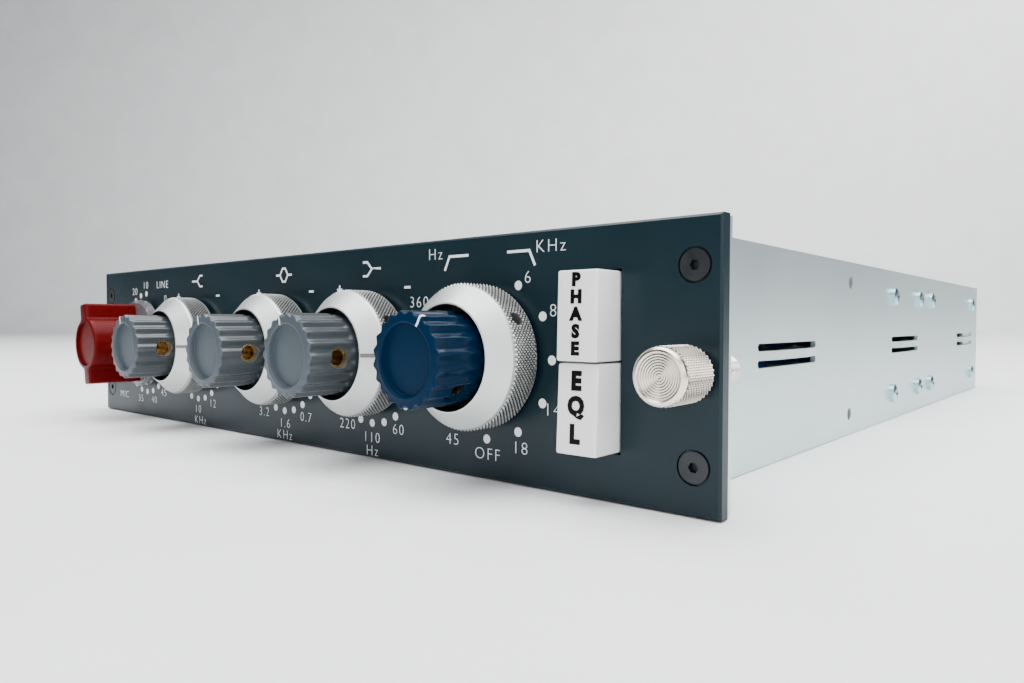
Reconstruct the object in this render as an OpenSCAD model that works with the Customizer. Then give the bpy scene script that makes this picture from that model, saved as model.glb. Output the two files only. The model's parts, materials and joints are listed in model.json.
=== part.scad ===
// Rack module with a microphone preamp and equaliser: the panel lies on its side,
// with five rotary controls, two push buttons and a thumbscrew on the front.
// Millimetres. X runs along the panel to the right, Y into the case, Z up.

/* [Front panel] */
// Width of the front panel
panel_w = 222.25; // [222.25:0.25:280]
// Height of the front panel
panel_h = 45.7; // [45.7:0.1:60]
// Thickness of the front panel
panel_t = 2.4; // [2:0.1:3]
// Bevel round the front edge of the panel
panel_bevel = 0.4; // [0.2:0.1:0.8]
// Thickness of the plated sub-panel behind it
sub_t = 1.5; // [1.2:0.1:2]
// How far the sub-panel stops short of the panel's edges
sub_margin = 0.3; // [0.1:0.1:1]

/* [Case] */
// How far the panel overhangs the case on each side
case_inset = 12; // [9:0.5:14]
// Depth of the case behind the sub-panel
case_d = 292; // [240:1:360]
// Gap between the top of the case and the top of the panel
case_top_gap = 0.3; // [0.1:0.1:1]
// Thickness of the rails and the rear panel
wall_t = 1.2; // [0.8:0.1:1.6]
// Thickness of the top and bottom covers
cover_t = 1; // [0.8:0.1:1.4]
// Width of the rails' top and bottom flanges
flange_w = 9; // [8:0.5:12]
// Width of the tab that joins a rail to the sub-panel
tab_w = 4.5; // [3:0.5:5]

/* [Guide bridges] */
// Number of guide bridges on each rail
bridge_count = 3; // [1:1:3]
// Distance from the panel's front to the first bridge
bridge_first = 42.7; // [30:0.1:60]
// Distance between bridges
bridge_pitch = 103.5; // [80:0.5:104]
// Length of a bridge
bridge_l = 34.4; // [20:0.2:36]
// Height of the opening that a bridge crosses
bridge_window_h = 5; // [4:0.1:6]
// Height of the bridge's strip
bridge_strip_h = 1.9; // [1.5:0.1:3]
// How far the strip stands out of the rail
bridge_rise = 1.1; // [0.6:0.1:1.6]
// Length of the slope at each end of the strip
bridge_slope = 9; // [4:0.5:9]

/* [Controls] */
// Gain switch, from the middle of the panel
gain_x = -79.9; // [-81:0.1:-79]
// High-frequency control, from the middle of the panel
hf_x = -47; // [-48:0.1:-46]
// Mid-frequency control, from the middle of the panel
mf_x = -3.1; // [-5:0.1:-2]
// Low-frequency control, from the middle of the panel
lf_x = 30.8; // [30:0.1:32]
// Filter control, from the middle of the panel
filter_x = 64.5; // [64:0.1:66]
// Height of the filter control above the panel's middle line
filter_rise = 0.3; // [0:0.1:0.6]
// Radius of the threaded bush
bush_r = 5; // [4.5:0.1:5.5]
// How far the bush stands in front of the panel
bush_reach = 2.2; // [1.9:0.1:2.3]
// Height of the bush's nut
nut_h = 1.8; // [1.2:0.1:2]
// Nut size across its flats
nut_flats = 13; // [12:0.5:15]
// Radius of the index plate and the wafers
wafer_r = 14.4; // [12:0.1:15]

/* [Spindles] */
// Radius of the hollow outer spindle, and of the gain switch's spindle
tube_r = 3; // [2.8:0.1:3.2]
// Radius of the inner spindle
spindle_r = 1.9; // [1.6:0.1:2]
// Radial gap between a spindle and what it turns in
running_gap = 0.07; // [0.03:0.01:0.1]
// Radial gap between pieces that are fixed together
seat_gap = 0.04; // [0.02:0.01:0.1]

/* [Outer rings] */
// Outer radius over the knurl
ring_r = 13.4; // [12:0.1:14]
// Gap between the panel and the ring
ring_gap = 0.9; // [0.7:0.1:1.2]
// Height of the knurled band's front edge above the panel
ring_band_top = 7.4; // [7:0.1:8]
// Height of the lip round the ring's hole above the panel
ring_lip_top = 10.9; // [10:0.1:12]
// Radius of the hole that the inner knob turns in
ring_hole_r = 9.35; // [9:0.05:10]
// Web of the ring that grips the hollow spindle: back and front
ring_web = [2.7, 7.1];
// Radius of the grub screw hole in the ring
ring_screw_r = 1.3; // [1:0.1:1.5]

/* [Inner knobs] */
// Radius over the flutes' ridges
knob_r = 8.4; // [7:0.1:8.6]
// Front face of a knob above the panel
knob_top = 20.6; // [18:0.1:24]
// How much further out than that each knob sits on its spindle: high, mid, low, filter
knob_seat = [-0.4, 0.2, 0.7, -0.2];
// Back of a knob above the panel
knob_back = 7.8; // [7.6:0.1:8.5]
// Top of the smooth collar at the back
knob_collar_top = 10.6; // [10:0.1:12]
// Number of flutes
flutes = 20; // [16:1:24]
// Radius of the cut that makes a flute
flute_r = 1.6; // [1.3:0.05:1.7]
// Depth of a flute
flute_depth = 0.5; // [0.2:0.05:0.6]
// Radius of the recess in the front face
recess_r = 6.2; // [5:0.1:6.5]
// Depth of the recess
recess_d = 1.1; // [0.6:0.1:1.6]
// Radius of the hole for a knob's brass insert
knob_screw_r = 2.2; // [1.6:0.1:2.3]
// Height of the insert above the panel
knob_screw_h = 13.6; // [13.5:0.1:15]
// Angle from the pointer line round to the insert
knob_screw_turn = -110; // [-180:1:180]

/* [Gain knob] */
// Radius of the round part of the gain knob
gain_knob_r = 7.6; // [7:0.1:8.4]
// Front face of the gain knob above the panel
gain_knob_top = 18; // [16:0.1:22]
// Reach of each wing from the axis
wing_reach = 11.9; // [10:0.1:12.6]
// Width of a wing
wing_w = 4.2; // [3:0.1:5]
// Turn of the wings from upright
wing_turn = 7.5; // [-30:0.5:30]
// Radius of the clear skirt
skirt_r = 13.3; // [12.5:0.1:14]
// Top of the skirt above the panel
skirt_top = 3.5; // [3.4:0.1:4]
// Thickness of the skirt over the nut
skirt_web = 1; // [0.8:0.1:1]

/* [Push buttons] */
// Middle of the buttons, from the middle of the panel
button_x = 89.6; // [89:0.1:90]
// Width of a button
button_w = 7.8; // [7:0.1:8]
// Height of a button
button_h = 14.6; // [12:0.1:15]
// Gap between the buttons, and round them in the panel
button_gap = 0.35; // [0.3:0.05:0.5]
// How far a button stands out of the panel
button_reach = 6.6; // [5:0.1:8]
// Travel of a button
button_travel = 3.5; // [2:0.1:4]
// Side of the square plunger
plunger_w = 4; // [3:0.1:4.5]
// Length of the plunger
plunger_l = 24; // [16:1:30]

/* [Thumbscrew] */
// Distance of the thumbscrew and the panel screws from the panel's edge
edge_screw_x = 4.45; // [4.3:0.05:5]
// Radius of the thumbscrew's head
thumb_r = 4.4; // [3.5:0.1:4.5]
// Length of the head
thumb_l = 9.4; // [6:0.1:12]
// Gap between the head and the panel
thumb_gap = 1.6; // [1:0.1:3]
// Radius of the threaded shank
thumb_shank_r = 2.4; // [2:0.05:2.5]
// Reach of the shank behind the panel's front
thumb_reach = 13; // [12:0.5:24]
// How far the screw can move outward from rest
thumb_travel_out = 1.6; // [0.8:0.1:4]

/* [Screws] */
// Height of the panel screws from the middle of the panel
panel_screw_z = 15.3; // [12:0.1:16]
// Head radius of the panel screws
panel_screw_head_r = 2.45; // [2.3:0.05:2.6]
// Width of the gap round a panel screw's head
panel_screw_ring = 0.35; // [0.1:0.05:0.5]
// Height of the rail screws from the middle of the case
rail_screw_z = 14.8; // [12:0.1:15]
// Distances of the rail screws from the panel's front
rail_screw_y = [146.4, 179.2, 198];
// Distance of the last rail screw from the back of the case
rear_screw_back = 17; // [12:0.5:20]
// Head radius of the rail screws
rail_screw_head_r = 2.7; // [2.4:0.1:3]
// Shank radius of the case's and the panel's screws
screw_r = 1.5; // [1.2:0.1:1.6]

/* [Electronics] */
// Thickness of a circuit board
board_t = 1.6; // [1.2:0.1:2]
// Underside of the main board above the base
board_z = 6; // [5:0.5:7]
// Front and back edges of the main board from the panel's front
board_y = [66, 138];
// Number of amplifier cards
card_count = 3; // [1:1:3]
// Distance between cards
card_pitch = 26; // [22:1:30]
// Height of an amplifier card
card_h = 30; // [24:1:31]
// Side of a small transformer's can
transformer_w = 32; // [26:1:36]
// Height of a small transformer's can
transformer_h = 28; // [22:1:30]
// Width, depth and height of the output transformer's can
output_can = [50, 44, 34];

/* [Rear connector] */
// Half the length of the connector's body
plug_half = 34; // [28:1:40]
// Height of the connector's body
plug_h = 17; // [14:1:20]
// Number of blades in a row
blade_count = 12; // [6:1:14]
// How far the blades stand behind the case
blade_reach = 10; // [8:0.5:14]

/* [Hidden] */
$fn = 64;
eps = 0.01;
cut = 1;
mid_z = panel_h / 2;
case_w = panel_w - 2 * case_inset;
case_h = panel_h - case_top_gap;
case_y0 = panel_t + sub_t;
case_y1 = case_y0 + case_d;
case_mid_z = case_h / 2;
rail_inner_x = case_w / 2 - wall_t;
inner_z0 = cover_t + wall_t;
inner_z1 = case_h - cover_t - wall_t;
// The frame's origin is under the middle of the whole module
mid_y = (case_y1 + blade_reach - knob_top - max(knob_seat)) / 2;

filter_z = mid_z + filter_rise;
control_at = [[gain_x, mid_z], [hf_x, mid_z], [mf_x, mid_z], [lf_x, mid_z], [filter_x, filter_z]];
// Turn of each inner knob's pointer line, from the right, anticlockwise
grey_pointer = 107;
filter_pointer = 62;
ring_screw_turn = 32;
ring_screw_h = 4.6;
ring_mark_w = 0.9;
ring_mark_d = 0.25;
pointer_w = 0.45;
pointer_d = 0.15;

index_plate_t = 3;
index_front = -(case_y0 + 0.2);
wafer_t = 1.4;
wafer_pitch = 7;
tie_r = 1.3;
tie_offset = 11.6;
can_r = 10;
can_l = 9;

button_rise = 0.2;
button_top_z = mid_z + button_rise + button_gap / 2;
button_bottom_z = mid_z + button_rise - button_gap / 2 - button_h;
button_back = case_y0 + 0.6;
window_w = button_w + 2 * button_gap;
window_h = 2 * button_h + 3 * button_gap;
window_z = button_bottom_z - button_gap;
bank_front = button_back + button_travel + 0.5;
bank_w = button_w + 1.4;
bank_l = 32;
bank_post_h = 3.2;
plunger_gap = 0.3;
socket_depth = 5;

thumb_x = panel_w / 2 - edge_screw_x;
thumb_z = mid_z - 1;
thumb_tip = 2;
clip_t = 0.8;
clip_r = 3;
groove_r = 1.9;
groove_gap = 0.15;
clip_y = case_y0 + thumb_travel_out + 0.4;

tray_y = [rail_screw_y[0] - 5.4, rail_screw_y[len(rail_screw_y) - 1] + 6];
tray_z = 4;
tray_t = 1.5;
pillar_r = 2.6;
pillar_inset = 6;
board_w = case_w - 18;
card_x = [for (i = [card_count - 1 : -1 : 0]) board_w / 2 - pillar_inset - 7 - i * card_pitch];
card_z = board_z + board_t + 2;
socket_w = 6;
socket_h = 5;
cap_r = 3.5;
cap_l = 9.5;
capacitor_y = [79, 101, 123];
capacitor_z = [17.5, 26, 34];
inductor_y = [84, 120];
core_r = 10.5;
core_h = 15;
inductor_x0 = -board_w / 2 + pillar_inset + core_r + 1.6;
inductor_x1 = card_x[0] - socket_w / 2 - core_r - 5.6;
inductor_x = [for (i = [0 : 3]) inductor_x0 + (inductor_x1 - inductor_x0) * i / 3];
cover_screw_head_r = 2.6;
cover_screw_x = case_w / 2 - flange_w / 2;
cover_screw_y = [case_y0 + 46, (case_y0 + case_y1) / 2, case_y1 - 34];
flange_plate_t = 2;
plug_flange = 8;
plug_depth = 14;
blade = [2.6, 0.8];
blade_pitch = (2 * plug_half - 6) / blade_count;
blade_row_z = 4.2;

// Moves a piece modelled from the panel's front face into the module's frame
module in_frame() translate([0, -mid_y, 0]) children();

// Local x right, y up, z out of the panel towards the user, from a point on the panel's front face
module on_panel(x, z) in_frame() translate([x, 0, z]) rotate([90, 0, 0]) children();

// Cylinder between two heights along its own z axis
module rod(r, from, to) translate([0, 0, from]) cylinder(r = r, h = to - from);

// Plate with its front edges bevelled: corner at the origin, front face at z = t
module bevel_plate(w, h, t, bevel) {
    function outline(a) = [[0, 0], [a, 0], [a, t - bevel], [a - bevel, t], [bevel, t], [0, t - bevel]];
    intersection() {
        rotate([90, 0, 90]) linear_extrude(w) polygon(outline(h));
        translate([0, h, 0]) rotate([90, 0, 0]) linear_extrude(h) polygon(outline(w));
    }
}

// Hole for a countersunk screw whose head is flush at z = 0
module countersink(head_r, shank_r, head_h, depth, gap = seat_gap) {
    rod(shank_r + gap, -depth - cut, cut);
    translate([0, 0, -head_h]) cylinder(r1 = shank_r + gap, r2 = head_r + gap, h = head_h + eps);
    rod(head_r + gap, 0, cut);
}

// Countersunk screw with a hexagon socket, its head flush at z = 0
module countersunk_screw(head_r, shank_r, head_h, length, socket_flats) difference() {
    union() {
        translate([0, 0, -head_h]) cylinder(r1 = shank_r, r2 = head_r, h = head_h);
        rod(shank_r, -length, -head_h);
    }
    translate([0, 0, -head_h * 0.8]) cylinder(r = socket_flats / sqrt(3), h = head_h + cut, $fn = 6);
}

// Pan-head screw with a cross recess, its head standing on z = 0
module pan_screw(head_r, shank_r, length) {
    head_h = 1.7;
    edge = 0.5;
    slot_w = 0.7;
    difference() {
        union() {
            rod(shank_r, -length, eps);
            rod(head_r, 0, head_h - edge);
            translate([0, 0, head_h - edge]) cylinder(r1 = head_r, r2 = head_r - 1.1, h = edge);
        }
        for (turn = [0, 90]) rotate(turn) translate([-head_r * 0.55, -slot_w / 2, head_h - 0.9])
            cube([head_r * 1.1, slot_w, 1 + cut]);
    }
}

// ---- Front panel and case ----

panel_screw_head_h = 1.4;
panel_screw_ring_d = 0.5;

module at_panel_screws() for (side = [-1, 1], up = [-1, 1])
    translate([side * (panel_w / 2 - edge_screw_x), mid_z + up * panel_screw_z, 0]) children();

// Openings for the controls, the buttons and the thumbscrew through a plate on the panel's axes
module front_openings(back, front) {
    for (at = control_at) translate([at[0], at[1], 0]) rod(bush_r + 2 * seat_gap, back, front);
    translate([button_x - window_w / 2, window_z, back]) cube([window_w, window_h, front - back]);
    translate([thumb_x, thumb_z, 0]) rod(thumb_shank_r + running_gap, back, front);
}

module front_panel() color("#12303c") on_panel(0, 0) difference() {
    translate([-panel_w / 2, 0, -panel_t]) bevel_plate(panel_w, panel_h, panel_t, panel_bevel);
    front_openings(-panel_t - cut, cut);
    at_panel_screws() {
        countersink(panel_screw_head_r, screw_r, panel_screw_head_h, panel_t);
        rod(panel_screw_head_r + panel_screw_ring, -panel_screw_ring_d, cut);
    }
}

module sub_panel() color("#c3ccd0") on_panel(0, 0) difference() {
    translate([-panel_w / 2 + sub_margin, sub_margin, -case_y0])
        cube([panel_w - 2 * sub_margin, panel_h - 2 * sub_margin, sub_t]);
    front_openings(-case_y0 - cut, cut);
    at_panel_screws() rod(screw_r + seat_gap, -case_y0 - cut, cut);
}

module panel_screws() color("#17191b") on_panel(0, 0) at_panel_screws()
    countersunk_screw(panel_screw_head_r, screw_r, panel_screw_head_h, case_y0 + 3, 1.5);

module at_bridges() for (i = [0 : bridge_count - 1])
    translate([0, bridge_first + i * bridge_pitch, 0]) children();

// Strip of a guide bridge, bent outward, on the right-hand rail's outer face
module bridge_strip() {
    slope_x = bridge_rise;
    translate([case_w / 2 - wall_t, 0, case_mid_z - bridge_strip_h / 2]) linear_extrude(bridge_strip_h)
        polygon([[0, 0], [wall_t, 0], [wall_t + slope_x, bridge_slope],
                 [wall_t + slope_x, bridge_l - bridge_slope], [wall_t, bridge_l], [0, bridge_l],
                 [slope_x, bridge_l - bridge_slope], [slope_x, bridge_slope]]);
}

// Opening in the right-hand rail's web: a slot with round ends on each side of the strip
module bridge_opening() {
    slot_r = (bridge_window_h - bridge_strip_h) / 4;
    through = wall_t + 2 * cut;
    translate([rail_inner_x - cut, 0, -bridge_strip_h / 2]) cube([through, bridge_l, bridge_strip_h]);
    for (up = [-1, 1]) translate([0, 0, up * (bridge_strip_h / 2 + slot_r)]) {
        translate([rail_inner_x - cut, slot_r, -slot_r]) cube([through, bridge_l - 2 * slot_r, 2 * slot_r]);
        for (y = [slot_r, bridge_l - slot_r]) web_hole(y, 0, slot_r);
    }
}

// Hole through the right-hand rail's web
module web_hole(y, z, r) translate([rail_inner_x, y, z]) rotate([0, 90, 0]) rod(r, -cut, wall_t + cut);

module at_cover_screws() for (y = cover_screw_y) translate([cover_screw_x, y, 0]) children();

module rail() {
    spare_hole_y = bridge_first + 61.2;
    spare_hole_z = 17.3;
    spare_hole_r = 1.6;
    difference() {
        union() {
            translate([rail_inner_x, case_y0, cover_t]) cube([wall_t, case_d, case_h - 2 * cover_t]);
            for (z = [cover_t, inner_z1]) translate([case_w / 2 - flange_w, case_y0, z])
                cube([flange_w, case_d, wall_t]);
            translate([case_w / 2 - tab_w, case_y0, cover_t]) cube([tab_w, wall_t, case_h - 2 * cover_t]);
        }
        at_bridges() translate([0, 0, case_mid_z]) bridge_opening();
        for (up = [-1, 1]) {
            web_hole(spare_hole_y, case_mid_z + up * spare_hole_z, spare_hole_r);
            for (y = concat(rail_screw_y, [case_y1 - rear_screw_back]))
                web_hole(y, case_mid_z + up * rail_screw_z, screw_r + seat_gap);
        }
        at_cover_screws() rod(screw_r + seat_gap, 0, case_h);
    }
    at_bridges() bridge_strip();
}

module right_rail() color("#b9c6cc") in_frame() rail();
module left_rail() color("#b9c6cc") in_frame() mirror([1, 0, 0]) rail();

// Cover plate lying from z = 0 up, countersunk from below
module cover() difference() {
    translate([-case_w / 2, case_y0, 0]) cube([case_w, case_d, cover_t]);
    for (side = [0, 1]) mirror([side, 0, 0]) at_cover_screws() mirror([0, 0, 1])
        countersink(cover_screw_head_r, screw_r, cover_t, cover_t);
}

module bottom_cover() color("#aebbc1") in_frame() cover();
module top_cover() color("#aebbc1") in_frame() translate([0, 0, case_h]) mirror([0, 0, 1]) cover();

module cover_screws() color("#c9c9c4") in_frame() for (side = [0, 1], top = [0, 1])
    translate([0, 0, top * case_h]) mirror([0, 0, 1 - top]) mirror([side, 0, 0]) at_cover_screws()
        countersunk_screw(cover_screw_head_r, screw_r, cover_t, cover_t + wall_t + 1.5, 1.8);

module rail_screws() color("#cfd8dc") in_frame() for (side = [0, 1]) mirror([side, 0, 0])
    for (up = [-1, 1], y = concat(rail_screw_y, [case_y1 - rear_screw_back]))
        translate([case_w / 2, y, case_mid_z + up * rail_screw_z]) rotate([0, 90, 0])
            pan_screw(rail_screw_head_r, screw_r, wall_t + tray_t + 1.5);

module rear_panel() color("#b4c1c7") in_frame() difference() {
    lug_l = 26;
    inner_h = inner_z1 - inner_z0;
    union() {
        translate([-rail_inner_x, case_y1 - wall_t, inner_z0]) cube([2 * rail_inner_x, wall_t, inner_h]);
        for (side = [0, 1]) mirror([side, 0, 0])
            translate([rail_inner_x - wall_t, case_y1 - lug_l, inner_z0]) cube([wall_t, lug_l, inner_h]);
    }
    translate([-plug_half - seat_gap, case_y1 - wall_t - cut, case_mid_z - plug_h / 2 - seat_gap])
        cube([2 * (plug_half + seat_gap), wall_t + 2 * cut, plug_h + 2 * seat_gap]);
    at_plug_screws() rod(screw_r + seat_gap, -wall_t - cut, cut);
    for (side = [0, 1]) mirror([side, 0, 0]) for (up = [-1, 1])
        translate([rail_inner_x, case_y1 - rear_screw_back, case_mid_z + up * rail_screw_z])
            rotate([0, 90, 0]) rod(screw_r + seat_gap, -wall_t - cut, cut);
}

// ---- Rear connector ----

// Local z points out of the back of the case, from its outer face
module at_plug_screws() for (side = [-1, 1])
    translate([side * (plug_half + plug_flange / 2), case_y1, case_mid_z]) rotate([-90, 0, 0]) children();

module blades(gap) for (i = [0 : blade_count - 1], up = [-1, 1])
    translate([(i - (blade_count - 1) / 2) * blade_pitch - blade[0] / 2 - gap, case_y1 - plug_depth - 4,
               case_mid_z + up * blade_row_z - blade[1] / 2 - gap])
        cube([blade[0] + 2 * gap, plug_depth + 4 + blade_reach, blade[1] + 2 * gap]);

module rear_connector() color("#3b3f3a") in_frame() difference() {
    union() {
        translate([-plug_half, case_y1 - plug_depth, case_mid_z - plug_h / 2])
            cube([2 * plug_half, plug_depth + flange_plate_t + 1.5, plug_h]);
        translate([-plug_half - plug_flange, case_y1, case_mid_z - plug_h / 2 - 1.5])
            cube([2 * (plug_half + plug_flange), flange_plate_t, plug_h + 3]);
    }
    blades(seat_gap);
    at_plug_screws() rod(screw_r + seat_gap, -cut, flange_plate_t + cut);
}

module connector_blades() color("#c8a34a") in_frame() blades(0);

module connector_screws() color("#cfd8dc") in_frame() at_plug_screws()
    translate([0, 0, flange_plate_t]) pan_screw(rail_screw_head_r, screw_r, flange_plate_t + wall_t + 3);

// ---- Electronics ----

module at_pillars() for (side = [-1, 1], y = [board_y[0] + pillar_inset, board_y[1] - pillar_inset])
    translate([side * (board_w / 2 - pillar_inset), y, 0]) children();

module main_board() color("#2f6b3c") in_frame() difference() {
    translate([-board_w / 2, board_y[0], board_z]) cube([board_w, board_y[1] - board_y[0], board_t]);
    at_pillars() rod(screw_r + seat_gap, board_z - cut, board_z + board_t + cut);
}

module board_pillars() color("#c9c9c4") in_frame() at_pillars() {
    rod(pillar_r, cover_t, board_z);
    rod(screw_r, board_z - eps, board_z + board_t + 2.4);
    difference() {
        translate([0, 0, board_z + board_t]) cylinder(r = 2.8, h = 2, $fn = 6);
        rod(screw_r + seat_gap, board_z, board_z + board_t + 2 + cut);
    }
}

// Upright board at each card position, from a margin inside the main board's edges
module cards(gap) for (x = card_x)
    translate([x - board_t / 2 - gap, board_y[0] + 3 - gap, card_z - gap])
        cube([board_t + 2 * gap, board_y[1] - board_y[0] - 6 + 2 * gap, card_h]);

module amplifier_cards() color("#3a7d44") in_frame() difference() {
    cards(0);
    for (x = card_x) translate([x, 0, 0]) at_capacitors() rod(0.5, -board_t - cut, board_t + cut);
}

module card_sockets() color("#7a4a22") in_frame() difference() {
    for (x = card_x) translate([x - socket_w / 2, board_y[0] + 2, board_z + board_t])
        cube([socket_w, board_y[1] - board_y[0] - 4, socket_h]);
    cards(seat_gap);
}

// Local z points away from a card's component side; origin on the card's middle plane
module at_capacitors() for (y = capacitor_y, z = capacitor_z)
    translate([0, y, z]) rotate([0, 90, 0]) children();

module card_capacitors() color("#1f5fae") in_frame() for (x = card_x) translate([x, 0, 0]) at_capacitors() {
    translate([0, cap_l / 2, board_t / 2 + cap_r + 0.1]) rotate([90, 0, 0]) cylinder(r = cap_r, h = cap_l);
    rod(0.4, board_t / 2 - board_t, board_t / 2 + cap_r);
}

module transformer_tray() color("#b4c1c7") in_frame() difference() {
    wall_h = case_h - 2 * tray_z;
    tray_d = tray_y[1] - tray_y[0];
    tray_window_h = bridge_window_h + 8;
    union() {
        translate([-rail_inner_x, tray_y[0], tray_z]) cube([2 * rail_inner_x, tray_d, tray_t]);
        for (side = [0, 1]) mirror([side, 0, 0])
            translate([rail_inner_x - tray_t, tray_y[0], tray_z]) cube([tray_t, tray_d, wall_h]);
    }
    for (side = [0, 1]) mirror([side, 0, 0]) {
        for (up = [-1, 1], y = rail_screw_y) translate([rail_inner_x, y, case_mid_z + up * rail_screw_z])
            rotate([0, 90, 0]) rod(screw_r + seat_gap, -tray_t - cut, cut);
        translate([rail_inner_x - tray_t - cut, tray_y[0] + 3, case_mid_z - tray_window_h / 2])
            cube([tray_t + 2 * cut, tray_d - 6, tray_window_h]);
    }
}

module small_transformers() color("#8d9499") in_frame()
    for (i = [-1.5 : 1 : 1.5]) {
        mid = (tray_y[0] + tray_y[1]) / 2;
        translate([i * (transformer_w + 10) - transformer_w / 2, mid - transformer_w / 2, tray_z + tray_t])
            difference() {
                cube([transformer_w, transformer_w, transformer_h]);
                translate([transformer_w / 2, transformer_w / 2, transformer_h])
                    cylinder(r = transformer_w * 0.3, h = 2, center = true);
            }
    }

module output_transformer() color("#5d646a") in_frame()
    translate([-output_can[0] / 2, tray_y[1] + 12, cover_t]) {
        cube(output_can);
        translate([-7, 0, 0]) cube([output_can[0] + 14, output_can[1], 1.5]);
    }

module filter_inductors() color("#6b5a4a") in_frame() for (x = inductor_x, y = inductor_y)
    translate([x, y, board_z + board_t]) difference() {
        cylinder(r = core_r, h = core_h);
        rod(2, 2, core_h + cut);
        rotate(x) translate([core_r - 2.2, -2, 4]) cube([3, 4, core_h]);
    }

// ---- Rotary controls ----

// Switch with a threaded bush, an index plate, wafers on two tie rods and a can behind
module rotary_body(wafers, inner_r) {
    wafer_back = index_front - index_plate_t - wafers * wafer_pitch;
    can_back = wafer_back - can_l;
    difference() {
        union() {
            rod(bush_r, index_front - eps, bush_reach);
            rod(wafer_r, index_front - index_plate_t, index_front);
            for (i = [1 : wafers]) {
                z = index_front - index_plate_t - i * wafer_pitch;
                rod(wafer_r, z, z + wafer_t);
            }
            for (side = [-1, 1]) translate([side * tie_offset, 0, 0])
                rod(tie_r, wafer_back, index_front - index_plate_t + eps);
            rod(can_r, can_back, wafer_back + eps);
        }
        rod(tube_r + running_gap, wafer_back + wafer_t - cut, bush_reach + cut);
        rod(inner_r + running_gap, wafer_back - can_l / 2, bush_reach);
    }
}

function tube_back(wafers) = index_front - index_plate_t - wafers * wafer_pitch + wafer_t;
function spindle_back(wafers) = index_front - index_plate_t - wafers * wafer_pitch - can_l / 2 + 0.3;

gain_wafers = 5;
eq_wafers = 3;
filter_wafers = 4;

module gain_switch() color("#8a6a3a") on_panel(gain_x, mid_z) rotary_body(gain_wafers, tube_r);
module hf_control() color("#8a6a3a") on_panel(hf_x, mid_z) rotary_body(eq_wafers, spindle_r);
module mf_control() color("#8a6a3a") on_panel(mf_x, mid_z) rotary_body(eq_wafers, spindle_r);
module lf_control() color("#8a6a3a") on_panel(lf_x, mid_z) rotary_body(eq_wafers, spindle_r);
module filter_control() color("#8a6a3a") on_panel(filter_x, filter_z) rotary_body(filter_wafers, spindle_r);

module control_nuts() color("#c9c9c4") for (at = control_at) on_panel(at[0], at[1]) difference() {
    cylinder(r = nut_flats / sqrt(3), h = nut_h, $fn = 6);
    rod(bush_r + seat_gap, -cut, nut_h + cut);
}

// Outer ring: knurled band, sloping face, and a web that grips the hollow spindle
module outer_ring(mark) difference() {
    rotate_extrude() polygon([
        [tube_r + seat_gap, ring_web[0]], [ring_hole_r, ring_web[0]], [ring_hole_r, ring_gap],
        [ring_r - 0.5, ring_gap], [ring_r, ring_gap + 0.5], [ring_r, ring_band_top - 0.3],
        [ring_r - 0.3, ring_band_top], [ring_hole_r + 0.3, ring_lip_top], [ring_hole_r, ring_lip_top - 0.3],
        [ring_hole_r, ring_web[1]], [tube_r + seat_gap, ring_web[1]]]);
    rotate(ring_screw_turn) translate([0, 0, ring_screw_h]) rotate([0, 90, 0])
        rod(ring_screw_r, 0, ring_r + cut);
    if (mark) face_mark();
}

// Engraved line down the ring's sloping face, at its right
module face_mark() {
    slope = atan2(ring_lip_top - ring_band_top, ring_r - ring_hole_r);
    translate([ring_r - 0.3, -ring_mark_w / 2, ring_band_top]) rotate([0, slope, 0])
        translate([-8, 0, -ring_mark_d]) cube([9, ring_mark_w, 3]);
}

module hf_ring() color("#e6e6e2") on_panel(hf_x, mid_z) outer_ring(true);
module mf_ring() color("#e6e6e2") on_panel(mf_x, mid_z) outer_ring(true);
module lf_ring() color("#e6e6e2") on_panel(lf_x, mid_z) outer_ring(true);
module filter_ring() color("#e6e6e2") on_panel(filter_x, filter_z) outer_ring(false);

// Hollow spindle, and the grub screw that holds the ring on it
module hollow_spindle(wafers) {
    difference() {
        rod(tube_r, tube_back(wafers), ring_web[1] - 0.2);
        rod(spindle_r + running_gap, tube_back(wafers) - cut, ring_web[1] + cut);
    }
    rotate(ring_screw_turn) translate([0, 0, ring_screw_h]) rotate([0, 90, 0]) difference() {
        rod(ring_screw_r - seat_gap, tube_r + seat_gap, ring_r - 3);
        translate([0, 0, ring_r - 4.5]) cylinder(r = 0.7, h = 3, $fn = 6);
    }
}

module hf_tube() color("#b9b9b2") on_panel(hf_x, mid_z) hollow_spindle(eq_wafers);
module mf_tube() color("#b9b9b2") on_panel(mf_x, mid_z) hollow_spindle(eq_wafers);
module lf_tube() color("#b9b9b2") on_panel(lf_x, mid_z) hollow_spindle(eq_wafers);
module filter_tube() color("#b9b9b2") on_panel(filter_x, filter_z) hollow_spindle(filter_wafers);

spindle_front = knob_top - 3.5;

module inner_spindle(wafers) rod(spindle_r, spindle_back(wafers), spindle_front);

module hf_spindle() color("#c9c9c4") on_panel(hf_x, mid_z) inner_spindle(eq_wafers);
module mf_spindle() color("#c9c9c4") on_panel(mf_x, mid_z) inner_spindle(eq_wafers);
module lf_spindle() color("#c9c9c4") on_panel(lf_x, mid_z) inner_spindle(eq_wafers);
module filter_spindle() color("#c9c9c4") on_panel(filter_x, filter_z) inner_spindle(filter_wafers);

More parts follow.
